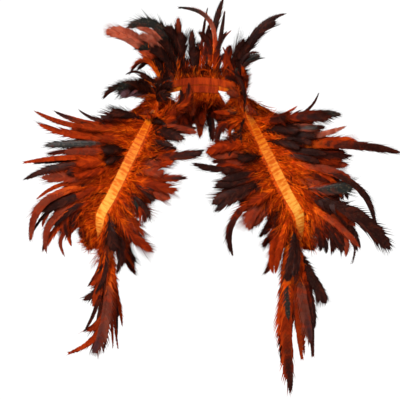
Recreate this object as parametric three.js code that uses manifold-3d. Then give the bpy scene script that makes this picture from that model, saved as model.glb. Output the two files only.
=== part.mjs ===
// A feather cape in the form of a harness. A narrow ribbon runs round the back of the neck, down each side of
// the chest, under each arm and up the back again. Dyed cock feathers are sewn in a head behind each of its
// edges: a collar round the neck, wings over the shoulders and arms, and a fringe over the chest and sides.
// Millimetres. The origin is where it sits on the neck, +Z is up, -Y is the front and +X the wearer's left.
import * as THREE from 'three';
import Module from 'manifold-3d';

const wasm = await Module();
wasm.setup();

// Driving dimensions
const RIBBON_WIDTH = 15;
const RIBBON_THICK = 1;
const HEAD_THICK = 1.6;
const HEAD_SPLIT = 1.6;
const SEWN_GAP = 0.4;
const CLEARANCE = 0.35;
const STRIP_STEP = 18;
const BACK_COLLAR_HALF = 30;

// Feathers: thickness at the shaft, how far a root runs past the ribbon, how much each stands off its ribbon
// and the layers that neighbours lie in. Their downy feet make one mat, out to this place on their curves.
const SHAFT_THICK = 1.8;
const ROOT_RUN = 1.5;
const PUFF = 0.07;
const LAYERS = [0, 3, 1.5, 4.5];
const DOWN_REACH = 0.24;
const DOWN_MOST = 36;
const DOWN_THICK = 1.5;
const DOWN_SPREAD = 11;
const FAR_WEIGHT = 1e-6;

// Feather tips are given as they show from the front, looking down by this angle
const VIEW_TILT = THREE.MathUtils.degToRad(19);
const VIEW_SIN = Math.sin(VIEW_TILT);
const VIEW_COS = Math.cos(VIEW_TILT);
const TOWARDS_VIEW = new THREE.Vector3(0, -VIEW_COS, VIEW_SIN);
const TOWARDS_BACK = new THREE.Vector3(0, VIEW_COS, VIEW_SIN);

// Sections of a feather along its curve, closer on a strongly bowed one. The first is its foot in the down.
const SECTIONS = [0.17, 0.44, 0.76, 1];
const BOWED_SECTIONS = [0.17, 0.36, 0.56, 0.78, 1];
const STRONG_BOW = 0.3;
const FOOT_DEPTH = 0.7;
const FOOT_THICK = 1;

// A feather's width at its foot and at its tip, as shares of its full width, which it has at this place
const FOOT_SHARE = 0.3;
const TIP_SHARE = 0.12;
const WIDEST_AT = 0.58;
const TIP_TAPER = 1.7;

// A feather bends about this place on its run, nearer to the tip the more it bows
const BEND_AT = 0.5;
const BEND_SHIFT = 0.35;
const BEND_LATEST = 0.75;

// Left half of the ribbon, from the middle of the nape: its centre line, and the way its face looks there
const RIBBON_STATIONS = [
  { name: 'nape', at: [0, 64, 20], face: [0, 1, 0] },
  { name: 'neck_back', at: [48, 48, 18], face: [0.7, 0.7, 0] },
  { name: 'neck_side', at: [68, 15, 12], face: [0.98, 0.15, 0.15] },
  { name: 'neck_front', at: [73, -15, 0], face: [0.8, -0.3, 0.5] },
  { name: 'collar_bone', at: [90, -38, -31], face: [0.45, -0.7, 0.5] },
  { name: 'chest_top', at: [113, -52, -75], face: [0.25, -0.88, 0.35] },
  { name: 'chest_side', at: [136, -56, -122], face: [0.25, -0.92, 0.25] },
  { name: 'front_fold', at: [152, -52, -154], face: [0.45, -0.85, 0.1] },
  { name: 'armpit_front', at: [153, -42, -189], face: [0.72, -0.66, -0.2] },
  { name: 'armpit_low_front', at: [150, -22, -220], face: [0.85, -0.3, -0.45] },
  { name: 'armpit_bottom', at: [146, 5, -234], face: [0.8, 0, -0.6] },
  { name: 'armpit_low_back', at: [143, 35, -225], face: [0.85, 0.3, -0.45] },
  { name: 'back_fold', at: [142, 62, -190], face: [0.72, 0.66, -0.1] },
  { name: 'shoulder_blade_low', at: [138, 80, -145], face: [0.45, 0.85, 0.1] },
  { name: 'shoulder_blade', at: [125, 88, -95], face: [0.25, 0.92, 0.25] },
  { name: 'back_top', at: [105, 82, -45], face: [0.25, 0.85, 0.45] },
  { name: 'shoulder_back', at: [80, 62, -22], face: [0.4, 0.6, 0.7] },
  { name: 'nape_side', at: [58.5, 46, 13], face: [0.5, 0.45, 0.75] },
];
const LEAD_STATIONS = 4;

// Each feather: where it is sewn along its stretch of ribbon; its tip across from the middle line towards its
// own side, up from the neck, and fore in front of the neck; the bow of its curve as a share of its length,
// turning left as it runs on the left side and mirrored on the right; and its width.
const COLUMNS = ['along', 'across', 'up', 'fore', 'bow', 'width'];

const LEFT_FRONT_OUTER = [
  [10, 148, 5, 5, -0.2, 9],
  [20, 181, 25, 12, -0.35, 10],
  [32, 213, -8, 28, 0.1, 26],
  [46, 220, -27, 40, -0.15, 18],
  [66, 303, -66, 50, 0.06, 20],
  [84, 225, -85, 44, 0, 26],
  [98, 268, -175, 60, 0.41, 16],
  [126, 233, -117, 52, -0.04, 30],
  [148, 291, -214, 58, 0.21, 30],
  [160, 246, -212, 50, 0.3, 18],
  [169, 233, -240, 44, 0.5, 9],
  [176, 224, -225, 50, 0.45, 14],
];
const RIGHT_FRONT_OUTER = [
  [12, 185, -1, 10, -0.25, 12],
  [25, 221, -4, 24, -0.16, 18],
  [33, 250, -4, 34, -0.16, 18],
  [44, 244, -23, 42, -0.15, 24],
  [60, 236, -55, 50, 0.02, 22],
  [72, 232, -68, 44, 0.08, 20],
  [85, 270, -82, 56, 0.06, 16],
  [97, 269, -108, 50, 0.15, 22],
  [110, 241, -104, 62, -0.05, 26],
  [122, 250, -138, 52, 0.22, 14],
  [131, 260, -201, 60, 0.48, 20],
  [140, 242, -155, 46, 0.12, 18],
  [148, 257, -190, 54, 0.3, 13],
  [158, 236, -220, 48, 0.5, 16],
  [170, 236, -178, 40, 0.25, 14],
];
const LEFT_FRONT_INNER = [
  [5, 22, -5, 54, 0, 14],
  [12, 27, -60, 66, -0.7, 10],
  [22, 45, -70, 72, -0.3, 10],
  [52, 12, -68, 84, -0.15, 26],
  [88, -10, -83, 98, 0.15, 20],
  [98, 20, -120, 90, 0.1, 14],
  [106, 32, -146, 84, -0.1, 20],
  [114, 24, -156, 94, -0.12, 24],
  [126, 50, -223, 90, -0.48, 18],
  [138, 80, -178, 80, -0.1, 30],
  [168, 112, -250, 70, -0.25, 20],
];
const RIGHT_FRONT_INNER = [
  [5, 17, 38, 52, 0.7, 14],
  [22, 5, -30, 76, 0.05, 18],
  [40, 42, -55, 74, 0.1, 10],
  [70, -5, -64, 92, 0.12, 20],
  [88, 42, -80, 84, 0.05, 22],
  [104, 22, -105, 94, 0.05, 22],
  [118, 46, -136, 88, 0, 30],
  [138, 84, -172, 82, -0.4, 38],
  [149, 86, -195, 76, -0.05, 22],
  [158, 73, -218, 84, 0.1, 28],
  [168, 120, -240, 64, -0.2, 18],
  [176, 128, -250, 58, -0.3, 18],
];
const LEFT_UNDERARM_OUTER = [
  [5, 215, -215, 38, 0.3, 16],
  [14, 195, -220, 34, 0.25, 16],
  [28, 176, -216, 26, 0.15, 16],
  [50, 174, -214, 14, 0.1, 16],
  [76, 180, -206, -8, 0.1, 16],
  [102, 180, -200, -28, 0.1, 16],
  [128, 182, -188, -48, 0.1, 16],
  [154, 186, -172, -66, 0.1, 16],
];
const RIGHT_UNDERARM_OUTER = [
  [5, 216, -186, 40, 0.3, 8],
  [13, 209, -225, 36, 0.6, 14],
  [28, 178, -200, 28, 0.1, 16],
  [44, 172, -213, 18, 0.1, 16],
  [62, 176, -212, 6, 0.1, 16],
  [84, 180, -204, -14, 0.1, 16],
  [106, 180, -198, -32, 0.1, 16],
  [130, 182, -188, -50, 0.1, 16],
  [154, 186, -172, -66, 0.1, 16],
];
const LEFT_UNDERARM_INNER = [
  [10, 142, -438, 44, -0.12, 28],
  [22, 160, -388, 38, -0.1, 18],
  [32, 176, -385, 30, 0, 18],
  [44, 173, -357, 22, -0.06, 26],
  [58, 195, -297, 14, -0.05, 22],
  [76, 140, -375, -2, -0.05, 16],
  [94, 127, -340, -10, -0.05, 14],
  [114, 136, -352, -26, -0.05, 18],
  [134, 143, -325, -42, 0, 18],
  [156, 150, -298, -58, 0, 18],
];
const RIGHT_UNDERARM_INNER = [
  [6, 160, -258, 46, -0.2, 12],
  [14, 162, -283, 48, -0.25, 14],
  [23, 162, -300, 40, -0.2, 8],
  [35, 180, -343, 38, -0.2, 14],
  [46, 207, -378, 32, -0.45, 18],
  [60, 167, -376, 22, -0.12, 30],
  [76, 152, -378, 8, -0.15, 12],
  [92, 136, -371, -6, -0.1, 14],
  [110, 130, -352, -24, -0.1, 18],
  [134, 143, -325, -42, 0, 18],
  [156, 150, -298, -58, 0, 18],
];
const LEFT_COLLAR = [
  [6, 46, 98, -58, 0.05, 22],
  [16, 113, 136, -54, 0.25, 14],
  [26, 130, 146, -44, 0.33, 18],
  [38, 35, 95, -24, 0.1, 10],
  [46, 90, 87, -22, 0.6, 10],
  [56, 64, 64, -6, 0.05, 14],
  [68, 62, 42, 6, 0.05, 14],
  [80, 66, 20, 18, 0.05, 14],
];
const RIGHT_COLLAR = [
  [5, 111, 127, -66, 0.65, 23],
  [12, 95, 125, -58, 0.4, 20],
  [20, 100, 93, -46, 0.45, 14],
  [29, 143, 119, -38, 0.43, 25],
  [38, 108, 53, -18, 1.1, 15],
  [44, 113, 53, -10, 0.4, 8],
  [51, 147, 17, -6, 0.32, 20],
  [60, 120, 22, 4, 0.1, 14],
  [72, 82, 14, 14, 0.1, 14],
  [84, 88, 4, 24, 0.1, 14],
];
const BACK_COLLAR = [
  [6, -48, 118, -70, 0.2, 20],
  [14, -33, 140, -74, 0.1, 22],
  [23, -12, 122, -78, 0.05, 20],
  [30, 12, 158, -82, 0.05, 9],
  [37, 35, 170, -86, 0.05, 20],
  [43, -34, 157, -74, -0.6, 15],
  [49, 38, 152, -80, 0, 14],
  [55, 48, 122, -74, 0.3, 9],
];

// Hidden stretches: an even fan from the first feather to the last, with headings in degrees up from outward
const BACK_OUTER_FAN = {
  count: 7, margins: [16, 16], lengths: [125, 84], headings: [-36, -46], fores: [-86, -104], bow: 0.22,
};
const BACK_INNER_FAN = {
  count: 7, margins: [10, 50], lengths: [110, 52], headings: [252, 200], fores: [-84, -112], bow: 0.1,
};
const NAPE_FAN = {
  count: 5, margins: [9, 9], lengths: [78, 78], headings: [256, 284], fores: [-112, -112], bow: 0,
};
const FAN_WIDTH = 22;
const FAN_LENGTH_STEPS = [1, 0.84, 0.93];

const vector = (values) => new THREE.Vector3(...values);
const mirrored = (v) => new THREE.Vector3(-v.x, v.y, v.z);
const fromFrontView = (across, up, fore) => vector([across, -fore, (up + fore * VIEW_SIN) / VIEW_COS]);
const upInFrontView = (v) => v.z * VIEW_COS + v.y * VIEW_SIN;

// The ribbon's centre line, led in over the mirrored side of the neck so that both halves meet smoothly
const leadIn = (values) => [...values.slice(1, LEAD_STATIONS + 1).reverse().map(mirrored), ...values];
const centreLine = new THREE.CatmullRomCurve3(leadIn(RIBBON_STATIONS.map((station) => vector(station.at))));
const faceLine = new THREE.CatmullRomCurve3(leadIn(RIBBON_STATIONS.map((station) => vector(station.face))));
const DIVISIONS_PER_STATION = 24;
const stationSpans = RIBBON_STATIONS.length + LEAD_STATIONS - 1;
centreLine.arcLengthDivisions = stationSpans * DIVISIONS_PER_STATION;
const lengths = centreLine.getLengths();
const lengthTo = (index) => lengths[index * DIVISIONS_PER_STATION];
const napeLength = lengthTo(LEAD_STATIONS);
const alongTo = (name) => {
  const index = RIBBON_STATIONS.findIndex((station) => station.name === name);
  return lengthTo(index + LEAD_STATIONS) - napeLength;
};

// Ribbon frame on the left half at a length from the nape: outer is the edge on the arm's side
function ribbonFrame(along) {
  const t = centreLine.getUtoTmapping(Math.min(1, (along + napeLength) / centreLine.getLength()));
  const point = centreLine.getPoint(t);
  const tangent = centreLine.getTangent(t);
  const facing = faceLine.getPoint(t);
  facing.addScaledVector(tangent, -facing.dot(tangent)).normalize();
  const outer = facing.clone().cross(tangent);
  return { point, tangent, facing, outer };
}

function mirrorFrame(frame) {
  return {
    point: mirrored(frame.point),
    tangent: mirrored(frame.tangent),
    facing: mirrored(frame.facing),
    outer: mirrored(frame.outer),
  };
}

// Closed solid through sections whose corners turn counter-clockwise about its run. Each end is closed from
// the first and last corners inwards.
function loft(sections) {
  const vertProperties = new Float32Array(sections.flat().flatMap((p) => p.toArray()));
  const triangles = [];
  const corners = sections[0].length;
  const last = (sections.length - 1) * corners;
  for (let start = 0; start < last; start += corners) {
    for (let corner = 0; corner < corners; corner += 1) {
      const a = start + corner;
      const b = start + ((corner + 1) % corners);
      triangles.push(a, b, a + corners, b, b + corners, a + corners);
    }
  }
  const close = (a, b, c) => triangles.push(a, c, b, last + a, last + b, last + c);
  for (let low = 0, high = corners - 1; high - low > 1; low += 1, high -= 1) {
    close(low, low + 1, high);
    if (high - low > 2) close(low + 1, high - 1, high);
  }
  const triVerts = new Uint32Array(triangles);
  return new wasm.Manifold(new wasm.Mesh({ numProp: 3, vertProperties, triVerts }));
}

// Frames along a stretch, which keeps half of the sewn gap at each end
function framesAlong({ side, from, to }, swell) {
  const start = from + SEWN_GAP / 2 - swell;
  const run = to - from - SEWN_GAP + 2 * swell;
  const steps = Math.max(2, Math.round((to - from) / STRIP_STEP));
  const places = Array.from({ length: steps + 1 }, (_, step) => start + (run * step) / steps);
  return places.map((along) => {
    const left = ribbonFrame(along);
    return { along, ...(side > 0 ? left : mirrorFrame(left)) };
  });
}

function ribbon(stretch, swell) {
  const sections = framesAlong(stretch, swell).map((frame) => {
    const across = frame.facing.clone().cross(frame.tangent).multiplyScalar(RIBBON_WIDTH / 2 + swell);
    const depth = frame.facing.clone().multiplyScalar(RIBBON_THICK / 2 + swell);
    const corner = (w, d) => frame.point.clone().addScaledVector(across, w).addScaledVector(depth, d);
    return [corner(1, 1), corner(-1, 1), corner(-1, -1), corner(1, -1)];
  });
  return loft(sections);
}

// Sewn heads lie side by side behind the ribbon
const HEAD_DEPTH = RIBBON_THICK / 2 + SEWN_GAP + HEAD_THICK / 2;

function widthShare(at) {
  if (at < WIDEST_AT) return THREE.MathUtils.lerp(FOOT_SHARE, 1, Math.sin((Math.PI / 2) * (at / WIDEST_AT)));
  return THREE.MathUtils.lerp(1, TIP_SHARE, ((at - WIDEST_AT) / (1 - WIDEST_AT)) ** TIP_TAPER);
}

// Where feathers leave the sewn head, just past an edge of the ribbon
function edgeOf(frame, edge) {
  const behind = frame.point.clone().addScaledVector(frame.facing, -HEAD_DEPTH);
  return behind.addScaledVector(frame.outer, edge * (RIBBON_WIDTH / 2 + ROOT_RUN));
}

// Curve of one feather on the left half, from where it leaves the ribbon to its tip
function featherCurve(edge, row) {
  const frame = ribbonFrame(row.along);
  const start = edgeOf(frame, edge);
  const tip = fromFrontView(row.across, row.up, row.fore);
  const run = tip.clone().sub(start);
  const runUp = upInFrontView(run);
  const seen = Math.hypot(run.x, runUp);
  const bowed = fromFrontView(-runUp / seen, run.x / seen, 0).multiplyScalar(row.bow * seen);
  const share = Math.min(BEND_LATEST, BEND_AT + BEND_SHIFT * Math.abs(row.bow));
  const control = start.clone().addScaledVector(run, share).add(bowed);
  control.addScaledVector(frame.facing, PUFF * seen + row.layer);
  return new THREE.QuadraticBezierCurve3(start, control, tip);
}

// How far the down reaches from the ribbon's edge at a place: an average over the feathers round it
function downReach(along, rows, curves) {
  const reach = new THREE.Vector3();
  let weights = 0;
  rows.forEach((row, index) => {
    const weight = Math.exp(-(((row.along - along) / DOWN_SPREAD) ** 2)) + FAR_WEIGHT;
    reach.addScaledVector(curves[index].getPoint(DOWN_REACH).sub(curves[index].v0), weight);
    weights += weight;
  });
  return reach.divideScalar(weights).clampLength(0, DOWN_MOST);
}

// Line in the middle of the down where the feathers have their feet
function footLine(stretch, curves) {
  const stops = framesAlong({ ...stretch, side: 1 }, 0).map((frame) => {
    const reach = downReach(frame.along, stretch.rows, curves);
    return { along: frame.along, foot: edgeOf(frame, stretch.edge).addScaledVector(reach, FOOT_DEPTH) };
  });
  return (along) => {
    const after = Math.max(1, stops.findIndex((stop) => stop.along >= along));
    const [low, high] = [stops[after - 1], stops[after]];
    return low.foot.clone().lerp(high.foot, (along - low.along) / (high.along - low.along));
  };
}

// One feather: a flat lock with a raised shaft
function feather(row, curve, foot, side, towards, swell) {
  const { facing } = ribbonFrame(row.along);
  const face = facing.multiplyScalar(Math.sign(facing.dot(towards)) || 1).add(towards);
  const places = Math.abs(row.bow) < STRONG_BOW ? SECTIONS : BOWED_SECTIONS;
  const turned = side > 0 ? (v) => v : mirrored;
  const sections = places.map((at, place) => {
    const centre = turned(place > 0 ? curve.getPoint(at) : foot);
    const tangent = turned(curve.getTangent(at));
    const normal = turned(face.clone());
    normal.addScaledVector(tangent, -normal.dot(tangent)).normalize();
    const broad = normal.clone().cross(tangent).multiplyScalar((row.width * widthShare(at)) / 2 + swell);
    const ridge = normal.multiplyScalar((place > 0 ? SHAFT_THICK : FOOT_THICK) / 2 + swell);
    const back = centre.clone().sub(ridge);
    return [back.clone().add(broad), centre.clone().add(ridge), back.clone().sub(broad)];
  });
  return loft(sections);
}

// Sewn head behind the ribbon with the mat of down that the feathers' feet make, fused to it
function headAndDown(stretch, curves, swell) {
  const { side, edge, rows } = stretch;
  const turned = side > 0 ? (v) => v : mirrored;
  const sections = framesAlong(stretch, swell).map((frame) => {
    const reach = turned(downReach(frame.along, rows, curves));
    const behind = frame.point.clone().addScaledVector(frame.facing, -HEAD_DEPTH);
    const inner = behind.clone().addScaledVector(frame.outer, edge * (HEAD_SPLIT / 2 - swell));
    const middle = edgeOf(frame, edge);
    const outer = middle.clone().add(reach).addScaledVector(reach.clone().normalize(), swell);
    const slope = reach.clone().cross(frame.tangent).normalize();
    slope.multiplyScalar(Math.sign(slope.dot(frame.facing)) || 1);
    const head = frame.facing.clone().multiplyScalar(HEAD_THICK / 2 + swell);
    const rim = slope.multiplyScalar(DOWN_THICK / 2 + swell);
    const front = [outer.clone().add(rim), middle.clone().add(head), inner.clone().add(head)];
    const back = [inner.clone().sub(head), middle.clone().sub(head), outer.clone().sub(rim)];
    const ring = [...front, ...back];
    return edge * side > 0 ? ring : ring.reverse();
  });
  return loft(sections);
}

const layerOf = (index) => LAYERS[index % LAYERS.length];

const asRows = (table, from) => table.map((values, index) => {
  const row = Object.fromEntries(COLUMNS.map((column, place) => [column, values[place]]));
  return { ...row, along: from + row.along, layer: layerOf(index) };
});

// Rows of an even fan along a stretch, with lengths that step so that the tips don't line up
function fanRows(from, to, edge, fan) {
  return Array.from({ length: fan.count }, (_, index) => {
    const between = ([first, last]) => THREE.MathUtils.lerp(first, last, index / (fan.count - 1));
    const along = between([from + fan.margins[0], to - fan.margins[1]]);
    const heading = THREE.MathUtils.degToRad(between(fan.headings));
    const length = between(fan.lengths) * FAN_LENGTH_STEPS[index % FAN_LENGTH_STEPS.length];
    const frame = ribbonFrame(along);
    const root = frame.point.addScaledVector(frame.outer, (edge * RIBBON_WIDTH) / 2);
    return {
      along,
      across: root.x + length * Math.cos(heading),
      up: upInFrontView(root) + length * Math.sin(heading),
      fore: between(fan.fores),
      bow: fan.bow,
      width: FAN_WIDTH,
      layer: layerOf(index),
    };
  });
}

function fringe(stretch, swell) {
  const { side, edge, rows, towards } = stretch;
  const curves = rows.map((row) => featherCurve(edge, row));
  const footAt = footLine(stretch, curves);
  let solid = headAndDown(stretch, curves, swell);
  rows.forEach((row, index) => {
    solid = solid.add(feather(row, curves[index], footAt(row.along), side, towards, swell));
  });
  return solid;
}

// Stretches of the ribbon, as lengths from the nape
const neckEnd = alongTo('neck_front');
const frontEnd = alongTo('front_fold');
const underarmEnd = alongTo('back_fold');
const loopEnd = alongTo('nape_side');
const RIBBON_STRETCHES = {
  front: [neckEnd, frontEnd],
  underarm: [frontEnd, underarmEnd],
  back: [underarmEnd, loopEnd],
};

const OUTER = 1;
const INNER = -1;
const EDGES = { outer: OUTER, inner: INNER };
const sides = [
  {
    name: 'left',
    side: 1,
    tables: {
      front_outer: LEFT_FRONT_OUTER,
      front_inner: LEFT_FRONT_INNER,
      underarm_outer: LEFT_UNDERARM_OUTER,
      underarm_inner: LEFT_UNDERARM_INNER,
    },
    collar: LEFT_COLLAR,
  },
  {
    name: 'right',
    side: -1,
    tables: {
      front_outer: RIGHT_FRONT_OUTER,
      front_inner: RIGHT_FRONT_INNER,
      underarm_outer: RIGHT_UNDERARM_OUTER,
      underarm_inner: RIGHT_UNDERARM_INNER,
    },
    collar: RIGHT_COLLAR,
  },
];

const fringes = [];
for (const { name, side, tables, collar } of sides) {
  for (const [place, table] of Object.entries(tables)) {
    const [stretchName, edgeName] = place.split('_');
    const [from, to] = RIBBON_STRETCHES[stretchName];
    fringes.push({
      name: `${name}_${place}_fringe`,
      side,
      edge: EDGES[edgeName],
      from,
      to,
      rows: asRows(table, from),
      towards: TOWARDS_VIEW,
    });
  }
  fringes.push({
    name: `${name}_collar_fringe`,
    side,
    edge: INNER,
    from: BACK_COLLAR_HALF,
    to: neckEnd,
    rows: asRows(collar, BACK_COLLAR_HALF),
    towards: TOWARDS_VIEW,
  });
  const [from, to] = RIBBON_STRETCHES.back;
  for (const [edgeName, fan] of [['outer', BACK_OUTER_FAN], ['inner', BACK_INNER_FAN]]) {
    const edge = EDGES[edgeName];
    const rows = fanRows(from, to, edge, fan);
    const fringeName = `${name}_back_${edgeName}_fringe`;
    fringes.push({ name: fringeName, side, edge, from, to, rows, towards: TOWARDS_BACK });
  }
}
const napeSpan = { side: 1, from: -BACK_COLLAR_HALF, to: BACK_COLLAR_HALF };
fringes.push({
  name: 'back_collar_fringe',
  ...napeSpan,
  edge: INNER,
  rows: asRows(BACK_COLLAR, -BACK_COLLAR_HALF),
  towards: TOWARDS_VIEW,
});
fringes.push({
  name: 'nape_fringe',
  ...napeSpan,
  edge: OUTER,
  rows: fanRows(-BACK_COLLAR_HALF, BACK_COLLAR_HALF, OUTER, NAPE_FAN),
  towards: TOWARDS_BACK,
});

const ribbonMaterial = new THREE.MeshStandardMaterial({ color: 0xf58a1f, roughness: 0.5, metalness: 0 });
const featherMaterial = new THREE.MeshStandardMaterial({ color: 0x8a2a0c, roughness: 0.6, metalness: 0 });

// Where two pieces would meet, the later one is cut back by the clearance and keeps its main body
const placed = [];
function place(name, material, build) {
  let solid = build(0);
  for (const other of placed) {
    const swollen = other.build(CLEARANCE);
    if (!solid.intersect(swollen).isEmpty()) solid = solid.subtract(swollen);
  }
  const bodies = solid.decompose().sort((a, b) => b.volume() - a.volume());
  placed.push({ name, material, solid: bodies[0], build });
}

const ribbons = [{ name: 'neck_ribbon', side: 1, from: -neckEnd, to: neckEnd }];
for (const { name, side } of sides) {
  for (const [stretchName, [from, to]] of Object.entries(RIBBON_STRETCHES)) {
    ribbons.push({ name: `${name}_${stretchName}_ribbon`, side, from, to });
  }
}
for (const stretch of ribbons) {
  place(stretch.name, ribbonMaterial, (swell) => ribbon(stretch, swell));
}
for (const stretch of fringes) {
  place(stretch.name, featherMaterial, (swell) => fringe(stretch, swell));
}

const cape = new THREE.Group();
cape.name = 'feather_cape';
for (const { name, material, solid } of placed) {
  const { vertProperties, triVerts } = solid.getMesh();
  const geometry = new THREE.BufferGeometry();
  geometry.setAttribute('position', new THREE.BufferAttribute(vertProperties, 3));
  geometry.setIndex(new THREE.BufferAttribute(triVerts, 1));
  geometry.computeVertexNormals();
  const mesh = new THREE.Mesh(geometry, material.clone());
  mesh.name = name;
  cape.add(mesh);
}

export default cape;
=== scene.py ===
import math

import bmesh
import bpy
import numpy as np
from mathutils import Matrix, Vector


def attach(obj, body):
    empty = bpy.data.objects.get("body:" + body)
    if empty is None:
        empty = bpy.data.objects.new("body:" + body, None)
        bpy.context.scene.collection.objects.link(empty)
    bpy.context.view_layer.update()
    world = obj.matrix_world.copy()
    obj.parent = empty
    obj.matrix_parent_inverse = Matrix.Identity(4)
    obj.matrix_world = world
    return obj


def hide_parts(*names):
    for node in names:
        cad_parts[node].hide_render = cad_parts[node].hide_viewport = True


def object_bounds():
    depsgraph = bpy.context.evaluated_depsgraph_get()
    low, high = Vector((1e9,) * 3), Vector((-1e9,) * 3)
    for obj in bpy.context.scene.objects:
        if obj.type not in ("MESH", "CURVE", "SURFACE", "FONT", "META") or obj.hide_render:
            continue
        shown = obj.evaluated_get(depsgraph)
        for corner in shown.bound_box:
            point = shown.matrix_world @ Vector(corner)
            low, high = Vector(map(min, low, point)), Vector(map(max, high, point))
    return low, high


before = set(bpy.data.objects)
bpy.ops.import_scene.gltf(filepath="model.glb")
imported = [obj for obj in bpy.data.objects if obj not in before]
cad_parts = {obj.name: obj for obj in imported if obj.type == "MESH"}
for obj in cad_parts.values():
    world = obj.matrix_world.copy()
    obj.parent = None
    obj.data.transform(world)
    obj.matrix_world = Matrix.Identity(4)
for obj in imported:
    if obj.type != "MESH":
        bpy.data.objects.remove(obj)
cad_low, cad_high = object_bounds()

# Ribbon
# One satin ribbon, 15 mm wide: round the nape, down each side of the chest, under the arm and up the back.
# It is woven, puckers a little along its stitching, and is built in the stretches that the frame has.
MM = 0.001
RIBBON_WIDTH = 15 * MM
RIBBON_THICK = 1 * MM
SEWN_GAP = 0.4 * MM
RIBBON_STEP = 2.5 * MM
RIBBON_COLUMNS = 9
PUCKER_HEIGHT = 0.35 * MM
PUCKER_LENGTHS = (5.3 * MM, 8.9 * MM, 17.7 * MM)
PUCKER_PHASE = 9
PUCKER_ROUNDING = 0.5
MIRROR = np.array([-1, 1, 1])

# Left half from the middle of the nape, in millimetres: the centre line, and the way the ribbon's face looks
RIBBON_STATIONS = {
    "nape": ((0, 64, 20), (0, 1, 0)),
    "neck_back": ((48, 48, 18), (0.7, 0.7, 0)),
    "neck_side": ((68, 15, 12), (0.98, 0.15, 0.15)),
    "neck_front": ((73, -15, 0), (0.8, -0.3, 0.5)),
    "collar_bone": ((90, -38, -31), (0.45, -0.7, 0.5)),
    "chest_top": ((113, -52, -75), (0.25, -0.88, 0.35)),
    "chest_side": ((136, -56, -122), (0.25, -0.92, 0.25)),
    "front_fold": ((152, -52, -154), (0.45, -0.85, 0.1)),
    "armpit_front": ((153, -42, -189), (0.72, -0.66, -0.2)),
    "armpit_low_front": ((150, -22, -220), (0.85, -0.3, -0.45)),
    "armpit_bottom": ((146, 5, -234), (0.8, 0, -0.6)),
    "armpit_low_back": ((143, 35, -225), (0.85, 0.3, -0.45)),
    "back_fold": ((142, 62, -190), (0.72, 0.66, -0.1)),
    "shoulder_blade_low": ((138, 80, -145), (0.45, 0.85, 0.1)),
    "shoulder_blade": ((125, 88, -95), (0.25, 0.92, 0.25)),
    "back_top": ((105, 82, -45), (0.25, 0.85, 0.45)),
    "shoulder_back": ((80, 62, -22), (0.4, 0.6, 0.7)),
    "nape_side": ((58.5, 46, 13), (0.5, 0.45, 0.75)),
}
LEAD_STATIONS = 4
MARKS_PER_STATION = 24
RUN_NUDGE = 0.002


def unit(vectors):
    return vectors / np.linalg.norm(vectors, axis=-1, keepdims=True)


def dots(a, b):
    return np.sum(a * b, axis=-1, keepdims=True)


def led_in(values):
    """The far side of the neck comes first, mirrored, so that the line runs smoothly over the nape."""
    values = np.array(values, float)
    return np.vstack([values[LEAD_STATIONS:0:-1] * MIRROR, values])


def smooth_line(stops, places):
    """Centripetal curve through the stops, at places counted in stops."""
    padded = np.vstack([2 * stops[0] - stops[1], stops, 2 * stops[-1] - stops[-2]])
    span = np.clip(np.floor(places).astype(int), 0, len(stops) - 2)
    w = (places - span)[:, None]
    a, b, c, d = (padded[span + step] for step in range(4))
    ab, bc, cd = (np.sqrt(np.linalg.norm(q - p, axis=1, keepdims=True)) for p, q in ((a, b), (b, c), (c, d)))
    leave = ((b - a) / ab - (c - a) / (ab + bc) + (c - b) / bc) * bc
    arrive = ((c - b) / bc - (d - b) / (bc + cd) + (d - c) / cd) * bc
    square = 3 * (c - b) - 2 * leave - arrive
    cube = 2 * (b - c) + leave + arrive
    return b + w * (leave + w * (square + w * cube))


centre_stops = led_in([at for at, face in RIBBON_STATIONS.values()]) * MM
face_stops = led_in([face for at, face in RIBBON_STATIONS.values()])
mark_places = np.linspace(0, len(centre_stops) - 1, (len(centre_stops) - 1) * MARKS_PER_STATION + 1)
mark_points = smooth_line(centre_stops, mark_places)
mark_lengths = np.append(0, np.cumsum(np.linalg.norm(np.diff(mark_points, axis=0), axis=1)))
mark_lengths -= mark_lengths[LEAD_STATIONS * MARKS_PER_STATION]


def along_to(name):
    station = list(RIBBON_STATIONS).index(name) + LEAD_STATIONS
    return mark_lengths[station * MARKS_PER_STATION]


def ribbon_frame(along, side=1):
    """Centre, run, face and arm-side edge direction of the ribbon at lengths from the nape."""
    places = np.interp(along, mark_lengths, mark_places)
    point = smooth_line(centre_stops, places)
    run = unit(smooth_line(centre_stops, places + RUN_NUDGE) - smooth_line(centre_stops, places - RUN_NUDGE))
    facing = smooth_line(face_stops, places)
    facing = unit(facing - dots(facing, run) * run)
    outer = np.cross(facing, run)
    mirror = MIRROR if side < 0 else 1
    return point * mirror, run * mirror, facing * mirror, outer * mirror


NECK_END = along_to("neck_front")
FRONT_END = along_to("front_fold")
UNDERARM_END = along_to("back_fold")
LOOP_END = along_to("nape_side")
STRETCHES = {
    "front": (NECK_END, FRONT_END),
    "underarm": (FRONT_END, UNDERARM_END),
    "back": (UNDERARM_END, LOOP_END),
}
SIDES = {"left": 1, "right": -1}


def show(name, mesh):
    piece = bpy.data.objects.new(name, mesh)
    bpy.context.scene.collection.objects.link(piece)
    return piece


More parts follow.
